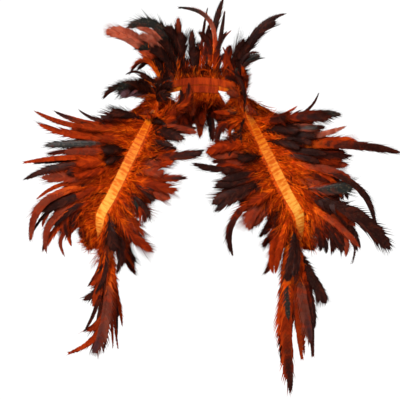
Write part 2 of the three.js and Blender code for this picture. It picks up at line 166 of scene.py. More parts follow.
def woven_strip(name, side, stretch, edges, depth, thick, pucker, material):
    """Closed strip along a stretch, between two edges across it, at a depth behind the ribbon's middle."""
    start, end = stretch
    along = np.linspace(start + SEWN_GAP / 2, end - SEWN_GAP / 2, round((end - start) / RIBBON_STEP))
    point, run, facing, outer = (values[:, None] for values in ribbon_frame(along, side))
    share = np.linspace(0, 1, RIBBON_COLUMNS)[None, :, None]
    across = edges[0] + (edges[1] - edges[0]) * share
    waves = [
        np.sin(2 * math.pi * along / length + PUCKER_PHASE * order)
        for order, length in enumerate(PUCKER_LENGTHS)
    ]
    ripple = pucker * (sum(waves) / len(waves))[:, None, None] * np.sin(math.pi * share) ** PUCKER_ROUNDING
    middle = point - facing * depth + outer * across + facing * ripple
    rows = np.concatenate([middle + facing * thick / 2, (middle - facing * thick / 2)[:, ::-1]], axis=1)
    steps, ring = rows.shape[:2]
    ids = np.arange(steps * ring).reshape(steps, ring)
    turned = np.roll(ids, -1, axis=1)
    walls = np.stack([ids[:-1], turned[:-1], turned[1:], ids[1:]], axis=-1).reshape(-1, 4)
    caps = [
        (row[i], row[i + 1], row[ring - 2 - i], row[ring - 1 - i])
        for row in ids[[0, -1]] for i in range(RIBBON_COLUMNS - 1)
    ]
    mesh = bpy.data.meshes.new(name)
    mesh.from_pydata(rows.reshape(-1, 3), [], [*walls.tolist(), *caps])
    cloth = mesh.attributes.new("cloth", "FLOAT2", "POINT")
    shares = np.concatenate([share[0, :, 0], share[0, ::-1, 0]])
    places = np.stack(np.broadcast_arrays(along[:, None], shares * (edges[1] - edges[0])), axis=-1)
    cloth.data.foreach_set("vector", places.astype(np.float32).ravel())
    built = bmesh.new()
    built.from_mesh(mesh)
    bmesh.ops.recalc_face_normals(built, faces=built.faces)
    built.to_mesh(mesh)
    built.free()
    mesh.materials.append(material)
    return show(name, mesh)


def feed(tree, node, inputs):
    """Sets each input to a value, or links it to another node's output or to a node's first output."""
    for key, value in dict(inputs).items():
        if isinstance(value, bpy.types.Node):
            value = value.outputs[0]
        if isinstance(value, bpy.types.NodeSocket):
            tree.links.new(value, node.inputs[key])
        else:
            node.inputs[key].default_value = value


def put(tree, kind, inputs=(), **settings):
    node = tree.nodes.new(kind)
    for name, value in settings.items():
        setattr(node, name, value)
    feed(tree, node, inputs)
    return node


def maths(tree, operation, *values, clamp=False):
    return put(tree, "ShaderNodeMath", enumerate(values), operation=operation, use_clamp=clamp)


def times(tree, first, second, clamp=False):
    return maths(tree, "MULTIPLY", first, second, clamp=clamp)


def times_plus(tree, value, factor, added):
    return maths(tree, "MULTIPLY_ADD", value, factor, added)


def mix_colour(tree, share, first, second, blend="MIX"):
    node = put(tree, "ShaderNodeMix", {0: share, 6: first, 7: second}, data_type="RGBA", blend_type=blend)
    return node.outputs[2]


def noise(tree, place, scale, detail=2, roughness=0.5):
    return put(tree, "ShaderNodeTexNoise", {0: place, 2: scale, 3: detail, 4: roughness})


def smooth_step(tree, value, low, high):
    return put(tree, "ShaderNodeMapRange", {0: value, 1: low, 2: high}, interpolation_type="SMOOTHSTEP")


def bumps(tree, height, strength, distance):
    return put(tree, "ShaderNodeBump", {"Height": height, "Strength": strength, "Distance": distance})


def add_sockets(tree, way, kinds):
    for name, kind in kinds.items():
        tree.interface.new_socket(name, in_out=way, socket_type=f"NodeSocket{kind}")


def new_material(name):
    material = bpy.data.materials.new(name)
    material.use_nodes = True
    tree = material.node_tree
    return material, tree, tree.nodes["Principled BSDF"]


def weave_group():
    """Warp and weft of a cloth from its flat coordinates in metres: a height and a tone for each thread."""
    tree = bpy.data.node_groups.new("woven_threads", "ShaderNodeTree")
    add_sockets(tree, "INPUT", {"Cloth": "Vector", "Threads per Metre": "Float"})
    add_sockets(tree, "OUTPUT", {"Height": "Float", "Tone": "Float"})
    given = put(tree, "NodeGroupInput").outputs
    stretched = {0: given["Cloth"], 3: given["Threads per Metre"]}
    scaled = put(tree, "ShaderNodeVectorMath", stretched, operation="SCALE")
    turns = put(tree, "ShaderNodeSeparateXYZ", {0: scaled}).outputs
    weft, warp = (maths(tree, "SINE", times(tree, turn, 2 * math.pi)) for turn in turns[:2])
    height = times_plus(tree, times(tree, warp, weft), 0.5, 0.5)
    cell = put(tree, "ShaderNodeVectorMath", {0: scaled}, operation="FLOOR")
    tone = put(tree, "ShaderNodeTexWhiteNoise", {0: cell}, noise_dimensions="3D")
    put(tree, "NodeGroupOutput", {"Height": height, "Tone": tone})
    return tree


woven_threads = weave_group()

# Woven cloth: how painted shade on the cross ridges, deeper in their troughs, and dye patches share the
# tones, and what threads and ridges do to tone, relief and shine
RIDGE_SQUASH = 0.2
RIDGE_GRAIN = (1, 3, 0.6)
RIDGE_SHARE = 0.7
RIDGE_RELIEF = 1.6
RIDGE_SHINE = 0.2
PATCHES_PER_METRE = 30
RIDGE_SHADE_AND_DYE_SPREAD = (0.4, 0.6)
THREAD_TONES = (0.16, 0.9)
THREAD_RELIEF = 0.35
RELIEF_STRENGTH = 0.5
RELIEF_HEIGHT = 0.6 * MM
CLOTH_SHINE = 0.1


def woven_material(name, tones, threads, ridges, roughness, fade):
    """Dyed woven cloth: cross ridges between two of its three tones, deeper in their troughs as painted
    shade, thread tones and a thread bump.
    Fade is where along the cloth the brighter pair of tones starts, is full and ends; on the ribbon this
    brighter stretch is painted light."""
    material, tree, shader = new_material(name)
    cloth = put(tree, "ShaderNodeAttribute", attribute_name="cloth").outputs["Vector"]
    woven = {"Cloth": cloth, "Threads per Metre": threads}
    weave = put(tree, "ShaderNodeGroup", woven, node_tree=woven_threads).outputs
    stretched = put(tree, "ShaderNodeMapping", {0: cloth, 3: (ridges, ridges * RIDGE_SQUASH, 1)})
    ridge = noise(tree, stretched, *RIDGE_GRAIN)
    patch = noise(tree, cloth, PATCHES_PER_METRE)
    # Painted shade: the tone follows the height of the cross ridges, deeper in their troughs, mixed with dye
    # patches
    mixed = times_plus(tree, ridge, RIDGE_SHARE, times(tree, patch, 1 - RIDGE_SHARE))
    spread = smooth_step(tree, mixed, *RIDGE_SHADE_AND_DYE_SPREAD)
    along = put(tree, "ShaderNodeSeparateXYZ", {0: cloth})
    starts, full, ends = fade
    rising = put(tree, "ShaderNodeMapRange", {0: along, 1: starts, 2: full})
    falling = put(tree, "ShaderNodeMapRange", {0: along, 1: full, 2: ends, 3: 1, 4: 0})
    deep, middle, bright = tones
    dim = mix_colour(tree, spread, deep, middle)
    pale = mix_colour(tree, spread, middle, bright)
    dye_and_painted_light = mix_colour(tree, times(tree, rising, falling), dim, pale)
    threaded = times_plus(tree, weave["Tone"], *THREAD_TONES)
    relief = times_plus(tree, ridge, RIDGE_RELIEF, times(tree, weave["Height"], THREAD_RELIEF))
    feed(tree, shader, {
        "Base Color": mix_colour(tree, 1, dye_and_painted_light, threaded, "MULTIPLY"),
        "Normal": bumps(tree, relief, RELIEF_STRENGTH, RELIEF_HEIGHT),
        "Roughness": times_plus(tree, ridge, -RIDGE_SHINE, roughness + RIDGE_SHINE / 2),
        "Specular IOR Level": CLOTH_SHINE})
    return material


# Painted light: the ribbon's brighter, yellower pair of tones comes in below the neck, is full at the front
# fold and is gone past it
RIBBON_PAINTED_LIGHT_FROM = NECK_END + 38 * MM
RIBBON_PAINTED_LIGHT_UNTIL = FRONT_END + 70 * MM
RIBBON_TONES = ((0.44, 0.045, 0.001, 1), (0.68, 0.150, 0.003, 1), (0.82, 0.400, 0.060, 1))
ribbon_satin = woven_material(
    "ribbon_satin", RIBBON_TONES, threads=1600, ridges=260, roughness=0.42,
    fade=(RIBBON_PAINTED_LIGHT_FROM, FRONT_END, RIBBON_PAINTED_LIGHT_UNTIL))
ribbon_edges = (-RIBBON_WIDTH / 2, RIBBON_WIDTH / 2)
ribbon_lines = [("neck_ribbon", 1, (-NECK_END, NECK_END))]
for side_name, side in SIDES.items():
    ribbon_lines += [(f"{side_name}_{name}_ribbon", side, stretch) for name, stretch in STRETCHES.items()]
for node, side, stretch in ribbon_lines:
    piece = woven_strip(
        f"{node}_satin", side, stretch, ribbon_edges, 0, RIBBON_THICK, PUCKER_HEIGHT, ribbon_satin)
    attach(piece, "root")
    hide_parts(node)

# Sewn heads
# The feathers come strung on a folded woven tape, one for each edge of the ribbon. The two tapes lie side
# by side behind the ribbon, where they show from inside the loops.
HEAD_THICK = 1.6 * MM
HEAD_SPLIT = 1.6 * MM
ROOT_RUN = 1.5 * MM
HEAD_DEPTH = RIBBON_THICK / 2 + SEWN_GAP + HEAD_THICK / 2
HEAD_PUCKER = 0.12 * MM
TAPE_RUN = 3 * MM
BACK_COLLAR_HALF = 30 * MM
OUTER = 1
INNER = -1
# The tape's brighter pair of tones rises from the nape to the front fold and falls to the loop's end, and its
# cross ridges carry painted shade as the ribbon's do
TAPE_TONES = ((0.20, 0.014, 0.001, 1), (0.38, 0.032, 0.001, 1), (0.80, 0.110, 0.002, 1))
head_tape = woven_material(
    "head_tape", TAPE_TONES, threads=900, ridges=140, roughness=0.75, fade=(0, FRONT_END, LOOP_END))
neck_back = (-BACK_COLLAR_HALF, BACK_COLLAR_HALF)
neck_side = (BACK_COLLAR_HALF, NECK_END)
head_lines = [("back_collar", 1, neck_back, INNER), ("nape", 1, neck_back, OUTER)]
for side_name, side in SIDES.items():
    head_lines.append((f"{side_name}_collar", side, neck_side, INNER))
    for stretch_name, stretch in STRETCHES.items():
        head_lines.append((f"{side_name}_{stretch_name}_outer", side, stretch, OUTER))
        head_lines.append((f"{side_name}_{stretch_name}_inner", side, stretch, INNER))
for name, side, stretch, edge in head_lines:
    head_edges = (edge * HEAD_SPLIT / 2, edge * (RIBBON_WIDTH / 2 + ROOT_RUN + TAPE_RUN))
    piece = woven_strip(
        f"{name}_head", side, stretch, head_edges, HEAD_DEPTH, HEAD_THICK, HEAD_PUCKER, head_tape)
    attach(piece, "root")

# Stitching
# Two rows of running stitches hold the ribbon down on the heads, a little inside its edges.
# The thread is dyed to match, so the rows show as small dimples and glints.
STITCH_LENGTH = 2.4 * MM
STITCH_PITCH = 3.6 * MM
STITCH_INSET = 2.2 * MM
STITCH_SEGMENTS = 6
STITCH_RINGS = 4
THREAD_THICK = 0.5 * MM
THREAD_TWISTS = 900
THREAD_WOBBLE = 1.5
# Thread tones follow the twist: darker in its grooves, lighter on its ridges
THREAD_TWIST_TONES = ((0.70, 0.14, 0.004, 1), (0.95, 0.30, 0.02, 1))
THREAD_ROUGHNESS = 0.5
TWIST_STRENGTH = 0.4
TWIST_HEIGHT = 0.2 * MM


def socket_of(tree, name):
    return next(item.identifier for item in tree.interface.items_tree if item.name == name)


def grown(name, source, tree, inputs):
    """Runs a geometry tree on a source mesh and keeps the result as a plain mesh."""
    seed = show(f"{name}_source", source)
    modifier = seed.modifiers.new("grow", "NODES")
    modifier.node_group = tree
    for key, value in inputs.items():
        modifier[socket_of(tree, key)] = value
    graph = bpy.context.evaluated_depsgraph_get()
    made = seed.evaluated_get(graph)
    mesh = bpy.data.meshes.new_from_object(made, preserve_all_data_layers=True, depsgraph=graph)
    seed.modifiers.remove(modifier)
    bpy.data.objects.remove(seed)
    mesh.name = name
    return show(name, mesh)


def geometry_tree(name, sizes):
    tree = bpy.data.node_groups.new(name, "GeometryNodeTree")
    kinds = {"Geometry": "Geometry", **dict.fromkeys(sizes, "Float"), "Material": "Material"}
    add_sockets(tree, "INPUT", kinds)
    add_sockets(tree, "OUTPUT", {"Geometry": "Geometry"})
    return tree, put(tree, "NodeGroupInput").outputs


def end_tree(tree, geometry, material):
    realized = put(tree, "GeometryNodeRealizeInstances", {0: geometry})
    smooth = put(tree, "GeometryNodeSetShadeSmooth", {0: realized})
    finished = put(tree, "GeometryNodeSetMaterial", {0: smooth, 2: material})
    put(tree, "NodeGroupOutput", {0: finished})


def stitch_tree():
    tree, given = geometry_tree("running_stitches", ["Pitch", "Length", "Thread"])
    line = put(tree, "GeometryNodeMeshToCurve", {0: given["Geometry"]})
    spots = put(tree, "GeometryNodeCurveToPoints", {0: line, "Length": given["Pitch"]}, mode="LENGTH").outputs
    bead = put(tree, "GeometryNodeMeshUVSphere", {
        "Segments": STITCH_SEGMENTS, "Rings": STITCH_RINGS, "Radius": times(tree, given["Thread"], 0.5)})
    ratio = maths(tree, "DIVIDE", given["Length"], given["Thread"])
    scale = put(tree, "ShaderNodeCombineXYZ", {0: 1, 1: 1, 2: ratio})
    stitch = put(tree, "GeometryNodeTransform", {0: bead, "Scale": scale})
    placed = put(tree, "GeometryNodeInstanceOnPoints", {
        "Points": spots["Points"], "Instance": stitch, "Rotation": spots["Rotation"]})
    end_tree(tree, placed, given["Material"])
    return tree


def thread_material():
    material, tree, shader = new_material("stitch_thread")
    place = put(tree, "ShaderNodeTexCoord").outputs["Object"]
    waves = {0: place, 1: THREAD_TWISTS, 2: THREAD_WOBBLE}
    twist = put(tree, "ShaderNodeTexWave", waves, bands_direction="DIAGONAL").outputs["Fac"]
    feed(tree, shader, {
        "Base Color": mix_colour(tree, twist, *THREAD_TWIST_TONES),
        "Normal": bumps(tree, twist, TWIST_STRENGTH, TWIST_HEIGHT),
        "Roughness": THREAD_ROUGHNESS})
    return material


def joined_lines(name, lines):
    """One mesh of separate polylines."""
    mesh = bpy.data.meshes.new(name)
    starts = np.cumsum([0] + [len(line) for line in lines])
    edges = [(i, i + 1) for low, high in zip(starts, starts[1:]) for i in range(low, high - 1)]
    mesh.from_pydata(np.vstack(lines), edges, [])
    return mesh


stitch_lines = []
for node, side, (start, end) in ribbon_lines:
    along = np.arange(start + STITCH_PITCH, end - STITCH_PITCH, RIBBON_STEP)
    point, run, facing, outer = ribbon_frame(along, side)
    for edge in (OUTER, INNER):
        offset = edge * (RIBBON_WIDTH / 2 - STITCH_INSET)
        stitch_lines.append(point + outer * offset + facing * (RIBBON_THICK / 2 + THREAD_THICK / 4))
stitching = grown("ribbon_stitching", joined_lines("stitch_lines", stitch_lines), stitch_tree(), {
    "Pitch": STITCH_PITCH, "Length": STITCH_LENGTH, "Thread": THREAD_THICK, "Material": thread_material()})
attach(stitching, "root")

# Feathers
# Dyed cock feathers. Each has a tapered quill, long loose down at its foot and a vane of barbs that split
# into locks. Down and foot are orange, and the vane runs over red-brown to a glossy black or green-black tip.
VIEW_TILT = math.radians(19)
TOWARDS_VIEW = np.array([0, -math.cos(VIEW_TILT), math.sin(VIEW_TILT)])
TOWARDS_BACK = TOWARDS_VIEW * (1, -1, 1)
PUFF = 0.07
BEND_AT = 0.5
BEND_SHIFT = 0.35
BEND_LATEST = 0.75
LAYERS = np.array([0, 3, 1.5, 4.5]) * MM

# Vane: width at foot and tip as shares of the full width, which it has at this place on the quill
FOOT_SHARE = 0.3
TIP_SHARE = 0.12
WIDEST_AT = 0.58
TAPER_WIDTHS = (10 * MM, 26 * MM)
TAPERS = (1.8, 2.5)

# Barbs and quill: points along each barb, how far it narrows, its bends as shares of its length, and sides
VANE_COLUMNS = 4
VANE_TAPER = 0.35
DOWN_COLUMNS = 5
DOWN_TAPER = 0.75
BARB_BENDS = {"Vane Bend": 0.9, "Vane Droop": 0.10, "Vane Slant": 0.5, "Down Bend": 2.4, "Down Droop": 0.16}
QUILL_SIDES = 3

# Tones: where black starts on the feather, share of red-brown, of green or plum gloss, and of bleached pink,
# which on the grey feathers is painted sheen
TONES = {
    "down": (1.6, 0.0, 0.0, 0.0),
    "singed": (1.6, 1.4, 0.0, 0.0),
    "sooty": (0.0, 1.0, 0.0, 0.0),
    "orange": (1.4, 0.15, 0.0, 0.0),
    "fox": (1.15, 0.5, 0.0, 0.0),
    "ember": (0.78, 0.35, 0.1, 0.0),
    "rust": (1.2, 0.65, 0.0, 0.12),
    "brown": (0.62, 1.0, 0.1, 0.0),
    "black": (0.36, 0.9, 0.2, 0.0),
    "raven": (-0.15, 1.0, 0.2, 0.0),
    "green": (0.4, 0.8, 1.0, 0.0),
    "bottle": (-0.1, 0.8, 1.0, 0.0),
    "grey": (0.7, 0.5, 0.8, 0.5),
    "plum": (0.35, 1.0, -1.0, 0.2),
    "blush": (1.3, 0.6, 0.0, 0.6),
    "salmon": (1.4, 0.2, 0.0, 0.5),
    "wine": (0.85, 1.2, -0.2, 0.2),
}
TONE_KEYS = ("dark", "rust", "gloss", "bleach_and_sheen", "tint")
TUFT_TONES = ["down", "singed", "sooty"]
BRIGHT_TUFTS = [0.66, 0.22, 0.12]
DARK_TUFTS = [0.1, 0.3, 0.6]
FILL_TONES = ["orange", "fox", "ember", "rust", "brown", "black", "green", "raven"]
BRIGHT_FILL = [0.12, 0.16, 0.2, 0.16, 0.18, 0.12, 0.06, 0]
DARK_FILL = [0, 0, 0, 0.1, 0.2, 0.2, 0.1, 0.4]

VANE_LEFT, VANE_RIGHT, DOWN_BARB, QUILL = range(4)


def barb(tree, columns, forward, bend, droop, slant, taper):
    """A strip from 0 to 1 along X that bends towards the feather's tip, its end cut along the vane's edge."""
    sizes = {"Size X": 1, "Size Y": 1, "Vertices X": columns, "Vertices Y": 2}
    shape = put(tree, "GeometryNodeMeshGrid", sizes)
    place = put(tree, "ShaderNodeSeparateXYZ", {0: put(tree, "GeometryNodeInputPosition")}).outputs
    reach = maths(tree, "ADD", place[0], 0.5)
    rib = maths(tree, "ADD", place[1], 0.5)
    squared = times(tree, reach, reach)
    cut = times(tree, times(tree, place[1], slant), forward)
    length = times(tree, reach, maths(tree, "ADD", cut, 1))
    narrowed = maths(tree, "SUBTRACT", 1, times(tree, squared, taper))
    breadth = times(tree, place[1], narrowed)
    side = maths(tree, "ADD", breadth, times(tree, squared, times(tree, bend, forward)))
    drop = times(tree, squared, times(tree, droop, -1))
    shaped = put(tree, "ShaderNodeCombineXYZ", {0: length, 1: side, 2: drop})
    for name, value in (("reach", reach), ("rib", rib)):
        shape = put(tree, "GeometryNodeStoreNamedAttribute", {0: shape, "Name": name, "Value": value})
    return put(tree, "GeometryNodeSetPosition", {0: shape, "Position": shaped})


def feather_tree():
    """Points carry each barb's run, face, size and kind. Quills are the mesh's edges, made round."""
    tree, given = geometry_tree("sewn_feathers", BARB_BENDS)

    def named(name, data_type="FLOAT_VECTOR"):
        return put(tree, "GeometryNodeInputNamedAttribute", {0: name}, data_type=data_type)

    def is_kind(kind):
        own = named("kind", "INT")
        return put(tree, "FunctionNodeCompare", {2: own, 3: kind}, data_type="INT", operation="EQUAL")

    axes = {0: named("run"), 1: named("face")}
    turn = put(tree, "FunctionNodeAxesToRotation", axes, primary_axis="X", secondary_axis="Z")
    vane = [given["Vane Bend"], given["Vane Droop"], given["Vane Slant"], VANE_TAPER]
    shapes = {
        VANE_LEFT: barb(tree, VANE_COLUMNS, -1, *vane),
        VANE_RIGHT: barb(tree, VANE_COLUMNS, 1, *vane),
        DOWN_BARB: barb(tree, DOWN_COLUMNS, 1, given["Down Bend"], given["Down Droop"], 0, DOWN_TAPER),
    }
    joined = put(tree, "GeometryNodeJoinGeometry")
    for kind, shape in shapes.items():
        placed = put(tree, "GeometryNodeInstanceOnPoints", {
            "Points": given["Geometry"], "Selection": is_kind(kind), "Instance": shape,
            "Rotation": turn, "Scale": named("size")})
        feed(tree, joined, {0: placed})
    quills = put(tree, "GeometryNodeSeparateGeometry", {0: given["Geometry"], 1: is_kind(QUILL)})
    lines = put(tree, "GeometryNodeMeshToCurve", {0: quills})
    thick = put(tree, "ShaderNodeSeparateXYZ", {0: named("size")})
    ring = put(tree, "GeometryNodeCurvePrimitiveCircle", {"Resolution": QUILL_SIDES, "Radius": 0.5})
    feed(tree, joined, {0: put(tree, "GeometryNodeCurveToMesh", {0: lines, 1: ring, "Scale": thick})})
    end_tree(tree, joined, given["Material"])
    return tree


# Dye at the foot with its down and on the vane, with painted light and shade: each ramp runs from locks
# painted shaded to locks painted lit
FOOT_DYE_AND_PAINTED_LIGHT = ((0.17, 0.009, 0.001, 1), (0.56, 0.045, 0.001, 1), (0.92, 0.165, 0.004, 1))
VANE_DYE_AND_PAINTED_LIGHT = ((0.13, 0.008, 0.001, 1), (0.30, 0.021, 0.001, 1), (0.52, 0.054, 0.002, 1))
RED_BROWN = (0.055, 0.006, 0.0025, 1)
# Bleached pink, and on the grey feathers painted sheen
BLEACHED_PINK_AND_SHEEN = (0.40, 0.115, 0.07, 1)
WARM_BLACK = (0.020, 0.002, 0.001, 1)
GREEN_BLACK = (0.010, 0.011, 0.009, 1)
PLUM_BLACK = (0.150, 0.072, 0.085, 1)
BROWN_STREAK = (0.062, 0.010, 0.004, 1)
# Pale flecks of painted sheen on the green-glossed black
PAINTED_SHEEN_FLECK = (0.14, 0.10, 0.06, 1)

# Spans of place, noise or chance over which each change of colour comes in, and how strong it is
VANE_SPAN = (0.12, 0.5)
MOTTLE_GRAIN = (110, 3, 0.55)
LIT_SPAN = (0.32, 0.68)
LIT_BY_MOTTLE = 0.35
LIT_BY_CHANCE = 0.4
LIT_BY_TINT = 0.3
STREAK_SPAN = (0.36, 0.64)
STREAK_TONES = (0.7, 0.5)
BLACK_SPAN = (-0.18, 0.2)
BLACK_LEAD = 0.13
EDGE_DELAY = 0.3
UNEVEN_BY_MOTTLE = 0.34
UNEVEN_BY_CHANCE = (0.12, -0.23)
SHEEN_FLECKS_PER_METRE = 380
SHEEN_FLECK_SPAN = (0.54, 0.68)
SHEEN_FLECK_SHARE = 0.4
BROWN_CHANCE_SPAN = (0.5, 0.95)
BROWN_BY_CHANCE = 0.45
BROWN_MOTTLE_SPAN = (0.5, 0.72)
BROWN_BY_MOTTLE = 0.5
SHADE_BY_CHANCE = 0.6
SHADE_BY_RIB = (0.16, 0.51)
COAT_SHARE = 0.18
COAT_ROUGHNESS = 0.35
ROUGHNESS_BY_INK = (-0.25, 0.7)
FEATHER_SHINE = 0.03
RIB_TURNS = 18
RIB_STRENGTH = 0.25
RIB_HEIGHT = 0.3 * MM


def dye_and_painted_light_ramp(tree, share, shaded, middle, lit):
    node = put(tree, "ShaderNodeValToRGB", {0: share})
    stops = node.color_ramp.elements
    stops[0].color, stops[1].color = shaded, lit
    stops.new(0.5).color = middle
    return node


def feather_material():
    """Colours from what each barb carries: its place on the feather and the feather's own tones."""
    material, tree, shader = new_material("cock_feather")

    def told(name):
        return put(tree, "ShaderNodeAttribute", attribute_name=name).outputs["Fac"]

    along, reach, rib, chance = (told(name) for name in ("along", "reach", "rib", "chance"))
    dark, rust, gloss, bleach_and_sheen, tint = (told(name) for name in TONE_KEYS)
    place = put(tree, "ShaderNodeTexCoord").outputs["Object"]
    mottle = noise(tree, place, *MOTTLE_GRAIN)
    # Painted light and shade: mottle, chance and tint choose how lit each lock is painted
    locks_lit = times(tree, smooth_step(tree, mottle, *LIT_SPAN), LIT_BY_MOTTLE)
    lit = times_plus(tree, chance, LIT_BY_CHANCE, times_plus(tree, tint, LIT_BY_TINT, locks_lit))
    vane = smooth_step(tree, along, *VANE_SPAN)
    dye_and_painted_light = mix_colour(tree, vane, dye_and_painted_light_ramp(tree, lit, *FOOT_DYE_AND_PAINTED_LIGHT), dye_and_painted_light_ramp(tree, lit, *VANE_DYE_AND_PAINTED_LIGHT))
    streaked = times_plus(tree, smooth_step(tree, mottle, *STREAK_SPAN), *STREAK_TONES)
    red_brown = times(tree, times(tree, rust, vane), streaked, clamp=True)
    rusted = mix_colour(tree, red_brown, dye_and_painted_light, RED_BROWN)
    # Bleached pink, which on the grey feathers stands as painted sheen
    sheen_and_bleach_share = times(tree, times(tree, bleach_and_sheen, vane), streaked)
    bleached_and_sheened = mix_colour(tree, sheen_and_bleach_share, rusted, BLEACHED_PINK_AND_SHEEN)
    edge_last = times_plus(tree, reach, -EDGE_DELAY, maths(tree, "ADD", along, BLACK_LEAD))
    uneven = times_plus(tree, mottle, UNEVEN_BY_MOTTLE, times_plus(tree, chance, *UNEVEN_BY_CHANCE))
    black_from, black_at = (maths(tree, "ADD", dark, offset) for offset in BLACK_SPAN)
    inked = smooth_step(tree, maths(tree, "ADD", edge_last, uneven), black_from, black_at)
    green_gloss = maths(tree, "MAXIMUM", gloss, 0)
    plum_gloss = maths(tree, "MAXIMUM", times(tree, gloss, -1), 0)
    green = mix_colour(tree, green_gloss, WARM_BLACK, GREEN_BLACK)
    plum = mix_colour(tree, plum_gloss, green, PLUM_BLACK)
    # Painted sheen: pale flecks over the green-glossed black, standing for its speckled gloss
    sheen_speckle = noise(tree, place, SHEEN_FLECKS_PER_METRE)
    sheen_flecks = times(tree, smooth_step(tree, sheen_speckle, *SHEEN_FLECK_SPAN), green_gloss)
    sheen_flecked = mix_colour(tree, times(tree, sheen_flecks, SHEEN_FLECK_SHARE), plum, PAINTED_SHEEN_FLECK)
    brown_locks = times(tree, smooth_step(tree, chance, *BROWN_CHANCE_SPAN), BROWN_BY_CHANCE)
    streaks = times_plus(tree, smooth_step(tree, mottle, *BROWN_MOTTLE_SPAN), BROWN_BY_MOTTLE, brown_locks)
    coloured = mix_colour(tree, inked, bleached_and_sheened, mix_colour(tree, streaks, sheen_flecked, BROWN_STREAK))
    shade = times_plus(tree, chance, SHADE_BY_CHANCE, times_plus(tree, rib, *SHADE_BY_RIB))
    shine = times(tree, maths(tree, "ABSOLUTE", gloss), COAT_SHARE)
    fine = maths(tree, "SINE", times(tree, rib, RIB_TURNS))
    feed(tree, shader, {
        "Base Color": mix_colour(tree, 1, coloured, shade, "MULTIPLY"),
        "Coat Weight": times(tree, inked, shine),
        "Coat Roughness": COAT_ROUGHNESS,
        "Roughness": times_plus(tree, inked, *ROUGHNESS_BY_INK),
        "Specular IOR Level": FEATHER_SHINE,
        "Normal": bumps(tree, fine, RIB_STRENGTH, RIB_HEIGHT)})
    return material


sewn_feathers = feather_tree()
cock_feather = feather_material()


def from_front_view(across, up, fore):
    """Point from its place across and up in the front view, and how far it lies in front of the neck."""
    raised = (up + fore * math.sin(VIEW_TILT)) / math.cos(VIEW_TILT)
    return np.stack(np.broadcast_arrays(across, -fore, raised), axis=-1)


def up_in_front_view(vectors):
    return vectors[..., 2] * math.cos(VIEW_TILT) + vectors[..., 1] * math.sin(VIEW_TILT)


def plume_lines(rows, edge, side, towards, tuck=0.0):
    """Root, bend, tip and face of each feather. Rows are along, across, up, fore, bow and lift, in metres.
    Tuck is how far the root lies back under the ribbon."""
    along, across, up, fore, bow, lift = rows.T
    point, run, facing, outer = ribbon_frame(along)
    root = point - facing * HEAD_DEPTH + outer * edge * (RIBBON_WIDTH / 2 + ROOT_RUN - tuck)
    tip = from_front_view(across, up, fore)
    reach = tip - root
    rise = up_in_front_view(reach)
    seen = np.hypot(reach[:, 0], rise)
    bowed = from_front_view(-rise / seen, reach[:, 0] / seen, 0) * (bow * seen)[:, None]
    share = np.minimum(BEND_LATEST, BEND_AT + BEND_SHIFT * np.abs(bow))[:, None]
    bend = root + reach * share + bowed + facing * (PUFF * seen + lift)[:, None]
    toward = np.sign(dots(facing, towards))
    face = unit(facing * np.where(toward == 0, 1, toward) + towards)
    mirror = MIRROR if side < 0 else 1
    return [values * mirror for values in (root, bend, tip, face)]


def on_quill(lines, places):
    """Point, run, face, breadth and speed at places (feathers by places) on each quill."""
    root, bend, tip, face = (values[:, None] for values in lines)
    t = places[..., None]
    point = root * (1 - t) ** 2 + bend * 2 * t * (1 - t) + tip * t ** 2
    slope = 2 * (1 - t) * (bend - root) + 2 * t * (tip - bend)
    speed = np.linalg.norm(slope, axis=-1)
    run = slope / speed[..., None]
    normal = unit(face - dots(face, run) * run)
    return point, run, normal, np.cross(normal, run), speed


def width_share(places, widths):
    """Share of the full width at places on each feather. Narrow ones run to a point, wide ones end blunt."""
    taper = np.interp(widths, TAPER_WIDTHS, TAPERS)[:, None]
    rising = FOOT_SHARE + (1 - FOOT_SHARE) * np.sin(math.pi / 2 * np.minimum(places / WIDEST_AT, 1))
    falling = 1 - (1 - TIP_SHARE) * np.maximum((places - WIDEST_AT) / (1 - WIDEST_AT), 0) ** taper
    return np.where(places < WIDEST_AT, rising, falling)


def as_points(kind, along, tone, chance, point, run, face, size):
    """Flat arrays of one kind of point, with its feather's tone repeated for each."""
    count = along.size
    spread = np.broadcast_to(tone[:, None], (*along.shape, tone.shape[1])).reshape(count, -1)
    return {
        "point": point.reshape(count, 3), "run": run.reshape(count, 3), "face": face.reshape(count, 3),
        "size": size.reshape(count, 3), "kind": np.full(count, kind), "along": along.ravel(),
        "chance": chance.ravel(), **dict(zip(TONE_KEYS, spread.T)),
    }


def shared_in_locks(values, split, rng):
    """Values that neighbouring barbs share until the vane splits."""
    lock = np.cumsum(rng.random(values.shape) < split, axis=1)
    return np.take_along_axis(values, lock, axis=1)


# Vane barbs: where they sit on the quill, their angle to it, how they stray and how they split into locks
VANE_FROM = 0.14
VANE_UNTIL = 0.985
VANE_BARBS = 32
PLACE_STRAY = 0.5
LOOSE_UNTIL = 0.46
LOOSE_RUN = 0.26
ANGLE_PLACES = (0, 0.45, 0.85, 1)
ANGLES = np.radians((58, 44, 34, 18))
LEAST_ANGLE = math.radians(6)
MOST_ANGLE = math.radians(85)
LEAST_REACH_ANGLE = math.radians(20)
RAGGEDNESS = (0.9, 3.3)
LOCK_TURN = math.radians(4)
LOCK_SPLIT = 0.09
TIDY_STRAY = 0.6
LOOSE_ANGLE_STRAY = 12
LOOSE_DROOP_STRAY = 13
DROOP = (15, 5)
TIP_REACH = 1.05
TIP_SPARE = 3 * MM
RAGGED_ENDS = (-0.06, 0.04)
LOOSE_REACH = 0.25
OVERLAP = 2.5
LOOSE_THINNING = 1.2
BARB_TILT = 0.03
TONE_SPLIT = 0.3
TONE_SHARED = 0.7

# Down and quill
DOWN_UNTIL = 0.34
DOWN_BARBS = 14
DOWN_REACH = (9 * MM, 19 * MM)
DOWN_THICK = 0.9 * MM
DOWN_CROWDING = 1.5
DOWN_FLATNESS = 0.6
DOWN_LEAN = (1.4, 4.0)
DOWN_DYE_SHARE = 0.5
QUILL_STEPS = 14
QUILL_UNTIL = 0.97
QUILL_THICK = 1.1 * MM
QUILL_TAPER = 1.05


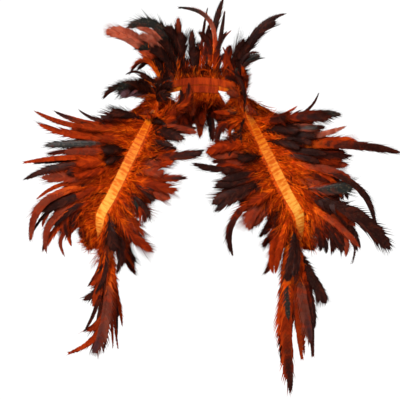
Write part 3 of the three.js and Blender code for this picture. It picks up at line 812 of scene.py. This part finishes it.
def vane_points(lines, widths, tone, rng):
    """Barbs of the vane on both sides of the quill, and the loose down at its foot."""
    count = len(widths)
    length = np.linalg.norm(lines[2] - lines[0], axis=1)[:, None]
    ragged = rng.uniform(*RAGGEDNESS, (count, 1))
    step = (VANE_UNTIL - VANE_FROM) / VANE_BARBS
    made = []
    for kind, side in ((VANE_LEFT, 1), (VANE_RIGHT, -1)):
        stray = rng.uniform(0, 1, (count, VANE_BARBS)) * PLACE_STRAY
        places = VANE_FROM + step * (np.arange(VANE_BARBS) + stray)
        point, run, face, broad, speed = on_quill(lines, places)
        loose = np.clip((LOOSE_UNTIL - places) / LOOSE_RUN, 0, 1)
        angle = np.interp(places, ANGLE_PLACES, ANGLES)
        angle = angle + shared_in_locks(rng.normal(0, LOCK_TURN, places.shape), LOCK_SPLIT, rng) * ragged
        angle = angle + rng.normal(0, 1, places.shape) * np.radians(TIDY_STRAY + LOOSE_ANGLE_STRAY * loose)
        angle = np.clip(angle, LEAST_ANGLE, MOST_ANGLE)
        droop = rng.normal(*DROOP, (count, 1)) + rng.normal(0, TIDY_STRAY + LOOSE_DROOP_STRAY * loose)
        droop = np.radians(droop)
        wide = widths[:, None] / 2 * width_share(places, widths)
        longest = (1 - places) * length * TIP_REACH + TIP_SPARE
        reach = np.minimum(wide / np.sin(np.maximum(angle, LEAST_REACH_ANGLE)), longest)
        reach = reach * (1 + rng.uniform(*RAGGED_ENDS, places.shape) * ragged) * (1 + LOOSE_REACH * loose)
        breadth = speed * step * np.sin(angle) * (OVERLAP - LOOSE_THINNING * loose)
        outward = broad * side * np.cos(droop)[..., None] - face * np.sin(droop)[..., None]
        heading = run * np.cos(angle)[..., None] + outward * np.sin(angle)[..., None]
        tilt = face + outward * rng.normal(0, BARB_TILT, places.shape)[..., None]
        size = np.stack([reach, breadth, reach], axis=-1)
        chance = TONE_SHARED * shared_in_locks(rng.random(places.shape), TONE_SPLIT, rng)
        chance = chance + (1 - TONE_SHARED) * rng.random(places.shape)
        made.append(as_points(kind, places, tone, chance, point, heading, tilt, size))
    return [*made, down_points(lines, tone, rng, DOWN_UNTIL, DOWN_BARBS, DOWN_REACH)]


def down_points(lines, tone, rng, until, barbs, reaches):
    """Loose barbs that stand out all round the lower part of each quill."""
    places = until * rng.random((len(tone), barbs)) ** DOWN_CROWDING
    point, run, face, broad, speed = on_quill(lines, places)
    turn = rng.uniform(-math.pi, math.pi, (*places.shape, 1))
    sideways = broad * np.cos(turn) + face * np.sin(turn) * DOWN_FLATNESS
    heading = unit(run * rng.uniform(*DOWN_LEAN, turn.shape) + sideways)
    curl = unit(rng.normal(0, 1, heading.shape))
    reach = rng.uniform(*reaches, places.shape)
    size = np.stack([reach, np.full_like(reach, DOWN_THICK), reach], axis=-1)
    chance = rng.random(places.shape)
    return as_points(DOWN_BARB, places * DOWN_DYE_SHARE, tone, chance, point, heading, curl, size)


def quill_points(lines, tone, rng):
    places = np.broadcast_to(np.linspace(0, QUILL_UNTIL, QUILL_STEPS), (len(tone), QUILL_STEPS))
    point, run, face, broad, speed = on_quill(lines, places)
    thick = QUILL_THICK * (QUILL_TAPER - places)
    size = np.stack([thick, thick, thick], axis=-1)
    return as_points(QUILL, places, tone, rng.random(places.shape), point, run, face, size)


def feather_piece(name, node, groups, quilled):
    """Joins the points of all barbs and quills of a fringe, the quills last, and grows it."""
    points = {key: np.concatenate([group[key] for group in groups]) for key in groups[0]}
    first = sum(len(group["along"]) for group in groups[:-1])
    rows = first + np.arange(quilled * QUILL_STEPS).reshape(quilled, QUILL_STEPS)
    edges = np.stack([rows[:, :-1], rows[:, 1:]], axis=-1).reshape(-1, 2)
    mesh = bpy.data.meshes.new(f"{name}_points")
    mesh.from_pydata(points.pop("point"), edges.tolist(), [])
    for key, values in points.items():
        form = "FLOAT_VECTOR" if values.ndim > 1 else "INT" if key == "kind" else "FLOAT"
        holder = mesh.attributes.new(key, form, "POINT")
        flat = values.astype(np.int32 if form == "INT" else np.float32).ravel()
        holder.data.foreach_set("vector" if values.ndim > 1 else "value", flat)
    piece = grown(name, mesh, sewn_feathers, {**BARB_BENDS, "Material": cock_feather})
    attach(piece, "root")
    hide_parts(node)


# Fringe: shares of the main feathers' length, how far the smaller ones stray, and lifts from and to in mm
OVER_LIFT = 9 * MM
PITCH_STRAY = (0.1, 0.9)
BEND_STRAY = 0.4
FILL_LIFTS = (-4, 13)
FILL_SHARES = (0.36, 0.8)
PARTED_SHARE = 0.34
FILL_STRAY = 0.06
FILL_WIDENING = (1.0, 1.7)
FILL_WIDTHS = (14 * MM, 36 * MM)
TUFT_LIFTS = (0, 9)
TUFT_STRAY = 0.2
TUFT_TUCK = 1.5 * MM
TUFT_UNTIL = 0.9
TUFT_BARBS = 24


def table_rows(table, stretch, lift):
    """Rows for the quills, and widths, from a table in millimetres."""
    values = np.array([row[:6] for row in table], float)
    lifts = np.broadcast_to(lift, len(values))
    rows = np.column_stack([stretch[0] + values[:, 0] * MM, values[:, 1:4] * MM, values[:, 4], lifts])
    return rows, values[:, 5] * MM


def fill_rows(rows, stretch, count, top, lifts, stand, rng):
    """Rows at an even pitch along the whole stretch, between the main ones that they have on either side.
    They end below the top and have lifts of their own."""
    start, end = stretch
    along = start + (end - start) / count * (np.arange(count) + rng.uniform(*PITCH_STRAY, count))
    filled = np.column_stack([along, *(np.interp(along, rows[:, 0], column) for column in rows.T[1:])])
    filled[:, 2] = np.minimum(filled[:, 2], top * MM)
    filled[:, 5] = rng.uniform(*lifts, count) * stand * MM
    return filled


def shortened(lines, shares, spread, rng):
    """Draws the tips in towards the roots and turns each feather a little."""
    root, bend, tip, face = lines
    share = shares[:, None]
    stray = rng.normal(0, spread, root.shape) * (np.linalg.norm(tip - root, axis=1, keepdims=True) * share)
    bend = root + (bend - root) * share + stray * BEND_STRAY
    return [root, bend, root + (tip - root) * share + stray, face]


def tones_along(along, stretch, dark_until, tones, bright, dark, rng):
    """Tones for places along a stretch: from the dark weights up to a share of it, then the bright ones."""
    early = (along - stretch[0]) / (stretch[1] - stretch[0]) < dark_until
    dark_draw, bright_draw = (rng.choice(tones, len(along), p=weights) for weights in (dark, bright))
    return np.where(early, dark_draw, bright_draw).tolist()


def tones_of(names, rng):
    """The named tones, with a tint of its own for each feather."""
    return np.column_stack([[TONES[name] for name in names], rng.random(len(names))])


def sew_fringe(
    name, side, edge, stretch, towards, seed, feathers, over=(), *, fill, tufts, tuft_reach=(20, 46),
    stand=1.0, fluff=(10, 22), dark_until=0.0, top=math.inf, partings=(),
):
    """A fringe: main feathers from a table, shorter ones between and over them, and tufts of down."""
    rng = np.random.default_rng(seed)
    rows, widths = table_rows(feathers, stretch, np.resize(LAYERS, len(feathers)))
    lines = [plume_lines(rows, edge, side, towards)]
    breadths = [widths]
    names = [row[6] for row in feathers]

    between = fill_rows(np.column_stack([rows, widths]), stretch, fill, top, FILL_LIFTS, stand, rng)
    fill_lines = plume_lines(between[:, :6], edge, side, towards)
    shares = rng.uniform(*FILL_SHARES, fill)
    places = (between[:, 0] - stretch[0]) / MM
    for low, high in partings:
        shares[(places > low) & (places < high)] = PARTED_SHARE
    lines.append(shortened(fill_lines, shares, FILL_STRAY, rng))
    breadths.append(np.clip(between[:, 6] * rng.uniform(*FILL_WIDENING, fill), *FILL_WIDTHS))
    names += tones_along(between[:, 0], stretch, dark_until, FILL_TONES, BRIGHT_FILL, DARK_FILL, rng)

    if over:
        over_rows, over_widths = table_rows(over, stretch, OVER_LIFT)
        lines.append(plume_lines(over_rows, edge, side, towards))
        breadths.append(over_widths)
        names += [row[6] for row in over]
    lines = [np.concatenate(parts) for parts in zip(*lines)]
    breadths = np.concatenate(breadths)
    tone = tones_of(names, rng)

    low = fill_rows(rows, stretch, tufts, top, TUFT_LIFTS, stand, rng)
    tuft_lines = plume_lines(low, edge, side, towards, TUFT_TUCK)
    reach = np.linalg.norm(tuft_lines[2] - tuft_lines[0], axis=1)
    tuft_lines = shortened(tuft_lines, rng.uniform(*tuft_reach, tufts) * MM / reach, TUFT_STRAY * stand, rng)
    tuft_names = tones_along(low[:, 0], stretch, dark_until, TUFT_TONES, BRIGHT_TUFTS, DARK_TUFTS, rng)
    tuft_tone = tones_of(tuft_names, rng)
    fluff_reach = [length * MM for length in fluff]
    tuft_down = down_points(tuft_lines, tuft_tone, rng, TUFT_UNTIL, TUFT_BARBS, fluff_reach)

    groups = [*vane_points(lines, breadths, tone, rng), tuft_down, quill_points(lines, tone, rng)]
    feather_piece(f"{name}_feathers", f"{name}_fringe", groups, len(breadths))


def sew_pair(name, edge, stretch, left, right, **both):
    """The same fringe on the wearer's left and right. Left and right say what each has of its own."""
    for (side_name, side), own in zip(SIDES.items(), (left, right)):
        sew_fringe(f"{side_name}_{name}", side, edge, stretch, TOWARDS_VIEW, **own, **both)


# Wings
# The fringes on the arm side of the chest ribbons: long feathers that stand out over the shoulders and arms.
# They are sewn in the outer head and lie in layers. Columns: along, across, up, fore, bow, width and tone,
# in millimetres, with bow as a share of the feather's length.
LEFT_WING = [
    (10, 148, 5, 5, -0.2, 9, "orange"),
    (20, 181, 25, 12, -0.35, 10, "brown"),
    (32, 213, -8, 28, 0.1, 26, "green"),
    (46, 220, -27, 40, -0.15, 18, "blush"),
    (66, 303, -66, 50, 0.06, 20, "brown"),
    (84, 225, -85, 44, 0, 26, "rust"),
    (98, 268, -175, 60, 0.41, 16, "black"),
    (126, 233, -117, 52, -0.04, 30, "green"),
    (148, 291, -214, 58, 0.21, 30, "black"),
    (160, 246, -212, 50, 0.3, 18, "black"),
    (169, 233, -240, 44, 0.5, 9, "black"),
    (176, 224, -225, 50, 0.45, 14, "blush"),
]
RIGHT_WING = [
    (12, 185, -1, 10, -0.25, 12, "brown"),
    (25, 221, -4, 24, -0.16, 18, "ember"),
    (33, 250, -4, 34, -0.16, 18, "fox"),
    (44, 244, -23, 42, -0.15, 24, "orange"),
    (60, 236, -55, 50, 0.02, 22, "green"),
    (72, 232, -68, 44, 0.08, 20, "ember"),
    (85, 270, -82, 56, 0.06, 16, "orange"),
    (97, 269, -108, 50, 0.15, 22, "black"),
    (110, 241, -104, 62, -0.05, 26, "rust"),
    (122, 250, -138, 52, 0.22, 14, "orange"),
    (131, 260, -201, 60, 0.48, 20, "rust"),
    (140, 242, -155, 46, 0.12, 18, "brown"),
    (148, 257, -190, 54, 0.3, 13, "black"),
    (158, 236, -220, 48, 0.5, 16, "rust"),
    (170, 236, -178, 40, 0.25, 14, "brown"),
]
LEFT_WING_OVER = [
    (3, 72, -8, 46, 0.1, 12, "orange"),
    (22, 198, -13, 40, 0.05, 30, "brown"),
    (20, 128, -14, 56, 0, 28, "brown"),
    (34, 148, -31, 62, 0, 30, "raven"),
    (32, 177, -28, 52, -0.05, 22, "grey"),
    (40, 174, -40, 58, -0.02, 24, "black"),
    (48, 168, -50, 62, 0, 24, "black"),
    (54, 150, -58, 66, 0.03, 22, "raven"),
    (66, 303, -66, 56, 0.07, 26, "brown"),
    (68, 190, -68, 64, 0, 20, "black"),
    (74, 180, -80, 64, 0.03, 18, "black"),
    (78, 230, -72, 54, 0.02, 24, "brown"),
    (92, 229, -106, 60, 0.1, 22, "rust"),
    (98, 267, -174, 64, 0.39, 20, "black"),
    (132, 205, -160, 62, 0.1, 26, "brown"),
    (134, 234, -116, 66, -0.08, 34, "green"),
    (146, 289, -213, 84, 0.2, 44, "raven"),
    (158, 244, -211, 70, 0.1, 20, "rust"),
    (170, 216, -214, 56, 0.2, 26, "black"),
    (174, 186, -216, 50, 0.15, 22, "brown"),
    (166, 226, -216, 60, 0.15, 20, "brown"),
    (172, 206, -218, 50, 0.2, 22, "brown"),
]
RIGHT_WING_OVER = [
    (3, 76, -14, 46, 0.1, 14, "orange"),
    (6, 68, -12, 48, 0, 12, "fox"),
    (14, 134, -6, 40, 0.05, 26, "raven"),
    (18, 150, -12, 36, 0.05, 26, "brown"),
    (36, 188, -26, 48, -0.03, 20, "fox"),
    (70, 146, -64, 66, 0.05, 30, "raven"),
    (80, 142, -82, 68, 0.05, 26, "raven"),
    (90, 205, -96, 58, 0, 24, "fox"),
    (86, 186, -84, 72, 0.02, 34, "down"),
    (98, 190, -100, 72, 0.02, 34, "down"),
    (128, 200, -142, 60, 0.1, 20, "fox"),
    (131, 258, -198, 64, 0.46, 24, "rust"),
    (140, 243, -156, 60, 0.1, 28, "black"),
    (150, 226, -178, 54, 0.15, 24, "black"),
    (158, 236, -218, 52, 0.45, 20, "rust"),
]
sew_pair(
    "front_outer", OUTER, STRETCHES["front"], fill=72, tufts=90, top=-20,
    left=dict(seed=11, feathers=LEFT_WING, over=LEFT_WING_OVER, partings=[(129, 147)]),
    right=dict(seed=12, feathers=RIGHT_WING, over=RIGHT_WING_OVER, partings=[(160, 169)]))

# Chest fringes
# The fringes on the inner edge of the chest ribbons: feathers that lie in over the chest.
# They are strung as the wings are, sewn in the inner head, and darker towards the middle of the chest.
LEFT_CHEST = [
    (5, 22, -5, 54, 0, 14, "orange"),
    (12, 27, -60, 66, -0.7, 10, "brown"),
    (22, 45, -70, 72, -0.3, 10, "black"),
    (52, 12, -68, 84, -0.15, 26, "orange"),
    (88, -10, -83, 98, 0.15, 20, "black"),
    (98, 20, -120, 90, 0.1, 14, "black"),
    (106, 32, -146, 84, -0.1, 20, "black"),
    (114, 24, -156, 94, -0.12, 24, "black"),
    (126, 50, -223, 90, -0.48, 18, "brown"),
    (138, 80, -178, 80, -0.1, 30, "rust"),
    (168, 112, -250, 70, -0.25, 20, "orange"),
]
RIGHT_CHEST = [
    (5, 17, 38, 52, 0.7, 14, "brown"),
    (22, 5, -30, 76, 0.05, 18, "brown"),
    (40, 42, -55, 74, 0.1, 10, "black"),
    (70, -5, -64, 92, 0.12, 20, "black"),
    (88, 42, -80, 84, 0.05, 22, "orange"),
    (104, 22, -105, 94, 0.05, 22, "ember"),
    (118, 46, -136, 88, 0, 30, "rust"),
    (138, 84, -172, 82, -0.4, 38, "ember"),
    (149, 86, -195, 76, -0.05, 22, "fox"),
    (158, 73, -218, 84, 0.1, 28, "fox"),
    (168, 120, -240, 64, -0.2, 18, "brown"),
    (176, 128, -250, 58, -0.3, 18, "black"),
]
LEFT_CHEST_OVER = [
    (8, 64, -54, 66, -0.35, 9, "raven"),
    (12, 28, -60, 70, -0.6, 15, "brown"),
    (22, 45, -70, 78, -0.3, 16, "raven"),
    (72, 58, -76, 82, 0, 26, "raven"),
    (92, 34, -108, 88, 0, 22, "black"),
    (104, 19, -144, 92, -0.05, 36, "raven"),
    (124, 74, -146, 82, 0, 30, "fox"),
    (126, 50, -222, 92, -0.5, 22, "brown"),
    (54, 10, -66, 88, -0.1, 30, "orange"),
    (96, 24, -116, 90, 0.05, 24, "black"),
    (2, 50, 58, 24, -0.1, 12, "raven"),
    (168, 116, -250, 74, -0.12, 20, "orange"),
]
RIGHT_CHEST_OVER = [
    (10, 46, -34, 62, -0.1, 14, "raven"),
    (20, 60, -20, 56, 0, 14, "raven"),
    (26, 24, -46, 88, 0, 30, "raven"),
    (40, 42, -56, 78, 0.1, 16, "black"),
    (112, 70, -140, 84, -0.2, 18, "black"),
    (128, 76, -168, 84, -0.25, 16, "raven"),
    (172, 132, -217, 74, -0.1, 36, "raven"),
    (24, 6, -36, 80, 0, 22, "rust"),
    (72, -2, -68, 96, 0.08, 26, "brown"),
    (110, 34, -124, 92, 0, 30, "fox"),
    (5, 18, 36, 58, 0.65, 20, "ember"),
]
sew_pair(
    "front_inner", INNER, STRETCHES["front"], fill=56, tufts=80,
    left=dict(seed=21, feathers=LEFT_CHEST, over=LEFT_CHEST_OVER, partings=[(142, 165)]),
    right=dict(seed=22, feathers=RIGHT_CHEST, over=RIGHT_CHEST_OVER, partings=[(159, 168)]))

# Arm loops
# Short feathers round the lower half of each arm hole.
# They are sewn in the outer head of the underarm ribbon, and only the first ones are seen from the front.
LEFT_LOOP = [
    (5, 215, -215, 38, 0.3, 16, "brown"),
    (14, 195, -220, 34, 0.25, 16, "black"),
    (28, 176, -216, 26, 0.15, 16, "brown"),
    (50, 174, -214, 14, 0.1, 16, "orange"),
    (76, 180, -206, -8, 0.1, 16, "fox"),
    (102, 180, -200, -28, 0.1, 16, "orange"),
    (128, 182, -188, -48, 0.1, 16, "fox"),
    (154, 186, -172, -66, 0.1, 16, "orange"),
]
RIGHT_LOOP = [
    (5, 216, -186, 40, 0.3, 8, "black"),
    (13, 209, -225, 36, 0.6, 14, "rust"),
    (28, 178, -200, 28, 0.1, 16, "orange"),
    (44, 172, -213, 18, 0.1, 16, "fox"),
    (62, 176, -212, 6, 0.1, 16, "orange"),
    (84, 180, -204, -14, 0.1, 16, "fox"),
    (106, 180, -198, -32, 0.1, 16, "orange"),
    (130, 182, -188, -50, 0.1, 16, "fox"),
    (154, 186, -172, -66, 0.1, 16, "orange"),
]
LEFT_LOOP_OVER = [
    (22, 220, -216, 62, 0.3, 30, "raven"),
    (10, 224, -224, 60, 0.4, 18, "rust"),
]
sew_pair(
    "underarm_outer", OUTER, STRETCHES["underarm"], fill=24, tufts=60, tuft_reach=(16, 38), stand=0.5,
    left=dict(seed=31, feathers=LEFT_LOOP, over=LEFT_LOOP_OVER), right=dict(seed=32, feathers=RIGHT_LOOP))

# Side fringes
# The long feathers that hang down the wearer's sides, the longest ones at the front.
# They are sewn in the inner head of the underarm ribbon.
LEFT_SIDE = [
    (10, 142, -438, 44, -0.12, 28, "ember"),
    (22, 160, -388, 38, -0.1, 18, "orange"),
    (32, 176, -385, 30, 0, 18, "rust"),
    (44, 173, -357, 22, -0.06, 26, "wine"),
    (58, 195, -297, 14, -0.05, 22, "black"),
    (76, 140, -375, -2, -0.05, 16, "brown"),
    (94, 127, -340, -10, -0.05, 14, "rust"),
    (114, 136, -352, -26, -0.05, 18, "fox"),
    (134, 143, -325, -42, 0, 18, "brown"),
    (156, 150, -298, -58, 0, 18, "ember"),
]
RIGHT_SIDE = [
    (6, 160, -258, 46, -0.2, 12, "brown"),
    (14, 162, -283, 48, -0.25, 14, "black"),
    (23, 162, -300, 40, -0.2, 8, "brown"),
    (35, 180, -343, 38, -0.2, 14, "brown"),
    (46, 207, -378, 32, -0.45, 18, "orange"),
    (60, 167, -376, 22, -0.12, 30, "wine"),
    (76, 152, -378, 8, -0.15, 12, "brown"),
    (92, 136, -371, -6, -0.1, 14, "orange"),
    (110, 130, -352, -24, -0.1, 18, "brown"),
    (134, 143, -325, -42, 0, 18, "fox"),
    (156, 150, -298, -58, 0, 18, "brown"),
]
LEFT_SIDE_OVER = [
    (9, 142, -437, 50, -0.12, 38, "ember"),
    (12, 128, -394, 50, -0.1, 30, "brown"),
    (18, 150, -335, 48, -0.06, 24, "rust"),
    (24, 144, -254, 86, 0, 24, "raven"),
    (14, 134, -262, 90, -0.05, 26, "raven"),
    (30, 162, -378, 42, -0.05, 20, "fox"),
    (40, 168, -352, 36, -0.08, 26, "rust"),
    (52, 194, -297, 52, -0.05, 30, "raven"),
    (44, 172, -355, 62, -0.1, 30, "wine"),
    (22, 158, -386, 46, -0.08, 22, "fox"),
    (32, 175, -383, 40, 0, 22, "brown"),
]
RIGHT_SIDE_OVER = [
    (30, 150, -280, 46, -0.15, 20, "ember"),
    (42, 165, -302, 42, -0.15, 22, "fox"),
    (48, 200, -374, 38, -0.45, 22, "orange"),
    (58, 165, -374, 60, -0.22, 36, "wine"),
    (80, 128, -372, 8, -0.1, 12, "orange"),
]
sew_pair(
    "underarm_inner", INNER, STRETCHES["underarm"], fill=32, tufts=110, tuft_reach=(12, 46), stand=0.5,
    left=dict(seed=41, feathers=LEFT_SIDE, over=LEFT_SIDE_OVER, partings=[(45, 60)]),
    right=dict(seed=42, feathers=RIGHT_SIDE, over=RIGHT_SIDE_OVER, partings=[(2, 32)]))

# Collar
# Feathers that stand up round the back and sides of the neck, thinner and darker than the rest.
# They are sewn in the heads on the upper edge of the neck ribbon.
LEFT_COLLAR = [
    (6, 46, 98, -58, 0.05, 22, "ember"),
    (16, 113, 136, -54, 0.25, 14, "raven"),
    (26, 130, 146, -44, 0.33, 18, "raven"),
    (38, 35, 95, -24, 0.1, 10, "fox"),
    (46, 90, 87, -22, 0.6, 10, "raven"),
    (56, 64, 64, -6, 0.05, 14, "orange"),
    (68, 62, 42, 6, 0.05, 14, "orange"),
    (80, 66, 20, 18, 0.05, 14, "orange"),
]
RIGHT_COLLAR = [
    (5, 111, 127, -66, 0.65, 23, "bottle"),
    (12, 95, 125, -58, 0.4, 20, "blush"),
    (20, 100, 93, -46, 0.45, 14, "raven"),
    (29, 143, 119, -38, 0.43, 25, "salmon"),
    (38, 108, 53, -18, 1.1, 15, "ember"),
    (44, 113, 53, -10, 0.4, 8, "raven"),
    (51, 147, 17, -6, 0.32, 20, "raven"),
    (60, 120, 22, 4, 0.1, 14, "plum"),
    (72, 82, 14, 14, 0.1, 14, "orange"),
    (84, 88, 4, 24, 0.1, 14, "orange"),
]
BACK_COLLAR = [
    (6, -48, 118, -70, 0.2, 20, "raven"),
    (14, -33, 140, -74, 0.1, 22, "rust"),
    (23, -12, 122, -78, 0.05, 20, "raven"),
    (30, 12, 158, -82, 0.05, 9, "brown"),
    (37, 35, 170, -86, 0.05, 20, "raven"),
    (43, -34, 157, -74, -0.6, 15, "grey"),
    (49, 38, 152, -80, 0, 14, "raven"),
    (55, 48, 122, -74, 0.3, 9, "rust"),
]
LEFT_COLLAR_OVER = [
    (10, 56, 78, -44, 0.1, 26, "raven"),
    (20, 76, 96, -34, 0.2, 32, "raven"),
    (24, 114, 134, -40, 0.3, 30, "raven"),
    (32, 64, 64, -20, 0.1, 24, "raven"),
    (44, 62, 42, -8, 0, 16, "raven"),
    (14, 66, 108, -46, 0.15, 26, "raven"),
    (60, 60, 50, 8, 0.05, 26, "brown"),
    (72, 62, 26, 20, 0.05, 26, "brown"),
    (66, 40, 46, 16, -0.1, 30, "brown"),
    (77, 40, 26, 26, 0, 30, "rust"),
]
RIGHT_COLLAR_OVER = [
    (1, 28, 118, -64, 0.05, 34, "raven"),
    (4, 62, 104, -44, 0.25, 34, "raven"),
    (5, 112, 126, -58, 0.62, 28, "bottle"),
    (12, 92, 94, -36, 0.4, 30, "bottle"),
    (22, 74, 74, -30, 0.3, 26, "raven"),
    (29, 142, 116, -34, 0.36, 28, "salmon"),
    (44, 96, 40, -6, 0.5, 24, "raven"),
    (50, 124, 24, 0, 0.25, 26, "bottle"),
    (3, 50, 128, -60, 0.2, 30, "raven"),
    (14, 92, 112, -34, 0.35, 26, "blush"),
    (66, 46, 46, 14, -0.1, 24, "raven"),
    (76, 52, 28, 22, 0, 20, "raven"),
    (8, 74, 92, -20, 0.3, 28, "raven"),
    (56, 106, 27, 20, 0.2, 28, "raven"),
    (62, 92, 30, 26, 0.1, 28, "raven"),
    (70, 42, 40, 22, -0.05, 36, "raven"),
    (80, 44, 22, 30, 0, 34, "raven"),
    (68, 119, 20, 30, 0.05, 22, "plum"),
]
sew_pair(
    "collar", INNER, neck_side, fill=12, tufts=64, tuft_reach=(10, 20), stand=0.6, fluff=(7, 14),
    left=dict(seed=51, feathers=LEFT_COLLAR, over=LEFT_COLLAR_OVER, dark_until=0.5),
    right=dict(seed=52, feathers=RIGHT_COLLAR, over=RIGHT_COLLAR_OVER, dark_until=0.85))
sew_fringe(
    "back_collar", SIDES["left"], INNER, neck_back, TOWARDS_VIEW, 53, BACK_COLLAR,
    fill=10, tufts=80, tuft_reach=(8, 20), stand=0.5, fluff=(8, 16), dark_until=1.0)

# Back fringes
# The same fringes on the hidden back: even fans along the back ribbons and below the nape.
# Each fan goes from its first feather to its last. Headings are degrees up from outward, lengths in mm.
BACK_WING_FAN = dict(
    count=7, margins=(16, 16), lengths=(125, 84), headings=(-36, -46), fores=(-86, -104), bow=0.22)
BACK_FAN = dict(count=7, margins=(10, 50), lengths=(110, 52), headings=(252, 200), fores=(-84, -112), bow=0.1)
NAPE_FAN = dict(count=5, margins=(9, 9), lengths=(78, 78), headings=(256, 284), fores=(-112, -112), bow=0)
FAN_WIDTH = 22
FAN_LENGTH_STEPS = (1, 0.84, 0.93)
FAN_TONES = ["ember", "brown", "fox", "black", "rust", "green", "orange"]


def fan_table(stretch, edge, count, margins, lengths, headings, fores, bow):
    """Rows of a fan, in the columns of the other tables."""
    start, end = (value / MM for value in stretch)
    along = np.linspace(start + margins[0], end - margins[1], count)
    point, run, facing, outer = ribbon_frame(along * MM)
    root = (point + outer * edge * RIBBON_WIDTH / 2) / MM
    length = np.linspace(*lengths, count) * np.resize(FAN_LENGTH_STEPS, count)
    heading = np.radians(np.linspace(*headings, count))
    across = root[:, 0] + length * np.cos(heading)
    up = up_in_front_view(root) + length * np.sin(heading)
    fore = np.linspace(*fores, count)
    return list(zip(along - start, across, up, fore, [bow] * count, [FAN_WIDTH] * count, FAN_TONES))


for side_name, side in SIDES.items():
    for edge_name, edge, fan, seed, top in (
        ("outer", OUTER, BACK_WING_FAN, 61, -40),
        ("inner", INNER, BACK_FAN, 71, math.inf),
    ):
        feathers = fan_table(STRETCHES["back"], edge, **fan)
        sew_fringe(
            f"{side_name}_back_{edge_name}", side, edge, STRETCHES["back"], TOWARDS_BACK, seed + side,
            feathers, fill=48, tufts=70, tuft_reach=(14, 30), stand=0.15, top=top)
feathers = fan_table(neck_back, OUTER, **NAPE_FAN)
sew_fringe(
    "nape", SIDES["left"], OUTER, neck_back, TOWARDS_BACK, 81, feathers,
    fill=30, tufts=40, tuft_reach=(12, 22), stand=0.1)

# Floor, light and camera
# A pale floor well below the cape, which is held up, soft studio light and a long lens looking down a little.
FLOOR_DROP = 1.2
FLOOR_SIZE = 40
FLOOR_TONES = ((0.93, 0.93, 0.93, 1), (0.96, 0.96, 0.96, 1))
FLOOR_PATCHES_PER_METRE = 3
FLOOR_ROUGHNESS = 0.9
STUDIO_COLOUR = (1, 1, 1, 1)
STUDIO_STRENGTH = 0.35
KEY_STRENGTH = 4.0
KEY_SPREAD = math.radians(25)
KEY_HEADING = (0.3, 0.75, -0.62)
CAMERA_DISTANCE = 6.0
CAMERA_TARGET = np.array([0.0, 0.0, -0.1466])
CAMERA_LENS = 350


def looking_along(heading):
    return Vector(heading).to_track_quat("-Z", "Y").to_euler()


floor_mesh = bpy.data.meshes.new("floor")
half = FLOOR_SIZE / 2
level = cad_low.z - FLOOR_DROP
corners = [(x * half, y * half, level) for x, y in ((-1, -1), (1, -1), (1, 1), (-1, 1))]
floor_mesh.from_pydata(corners, [], [(0, 1, 2, 3)])
floor = show("floor", floor_mesh)
floor_paint, floor_tree, floor_shader = new_material("pale_floor")
floor_place = put(floor_tree, "ShaderNodeTexCoord").outputs["Object"]
floor_patches = noise(floor_tree, floor_place, FLOOR_PATCHES_PER_METRE)
floor_tone = mix_colour(floor_tree, floor_patches, *FLOOR_TONES)
feed(floor_tree, floor_shader, {"Base Color": floor_tone, "Roughness": FLOOR_ROUGHNESS})
floor_mesh.materials.append(floor_paint)

world = bpy.data.worlds.new("studio")
world.use_nodes = True
studio_light = world.node_tree.nodes["Background"]
feed(world.node_tree, studio_light, {"Color": STUDIO_COLOUR, "Strength": STUDIO_STRENGTH})
bpy.context.scene.world = world

key_lamp = bpy.data.lights.new("key_light", "SUN")
key_lamp.energy = KEY_STRENGTH
key_lamp.angle = KEY_SPREAD
key_light = show("key_light", key_lamp)
key_light.rotation_euler = looking_along(KEY_HEADING)

camera_data = bpy.data.cameras.new("camera")
camera_data.lens = CAMERA_LENS
camera = show("camera", camera_data)
camera.location = CAMERA_TARGET + TOWARDS_VIEW * CAMERA_DISTANCE
camera.rotation_euler = looking_along(-TOWARDS_VIEW)
bpy.context.scene.camera = camera
bpy.context.scene.view_settings.view_transform = "Standard"
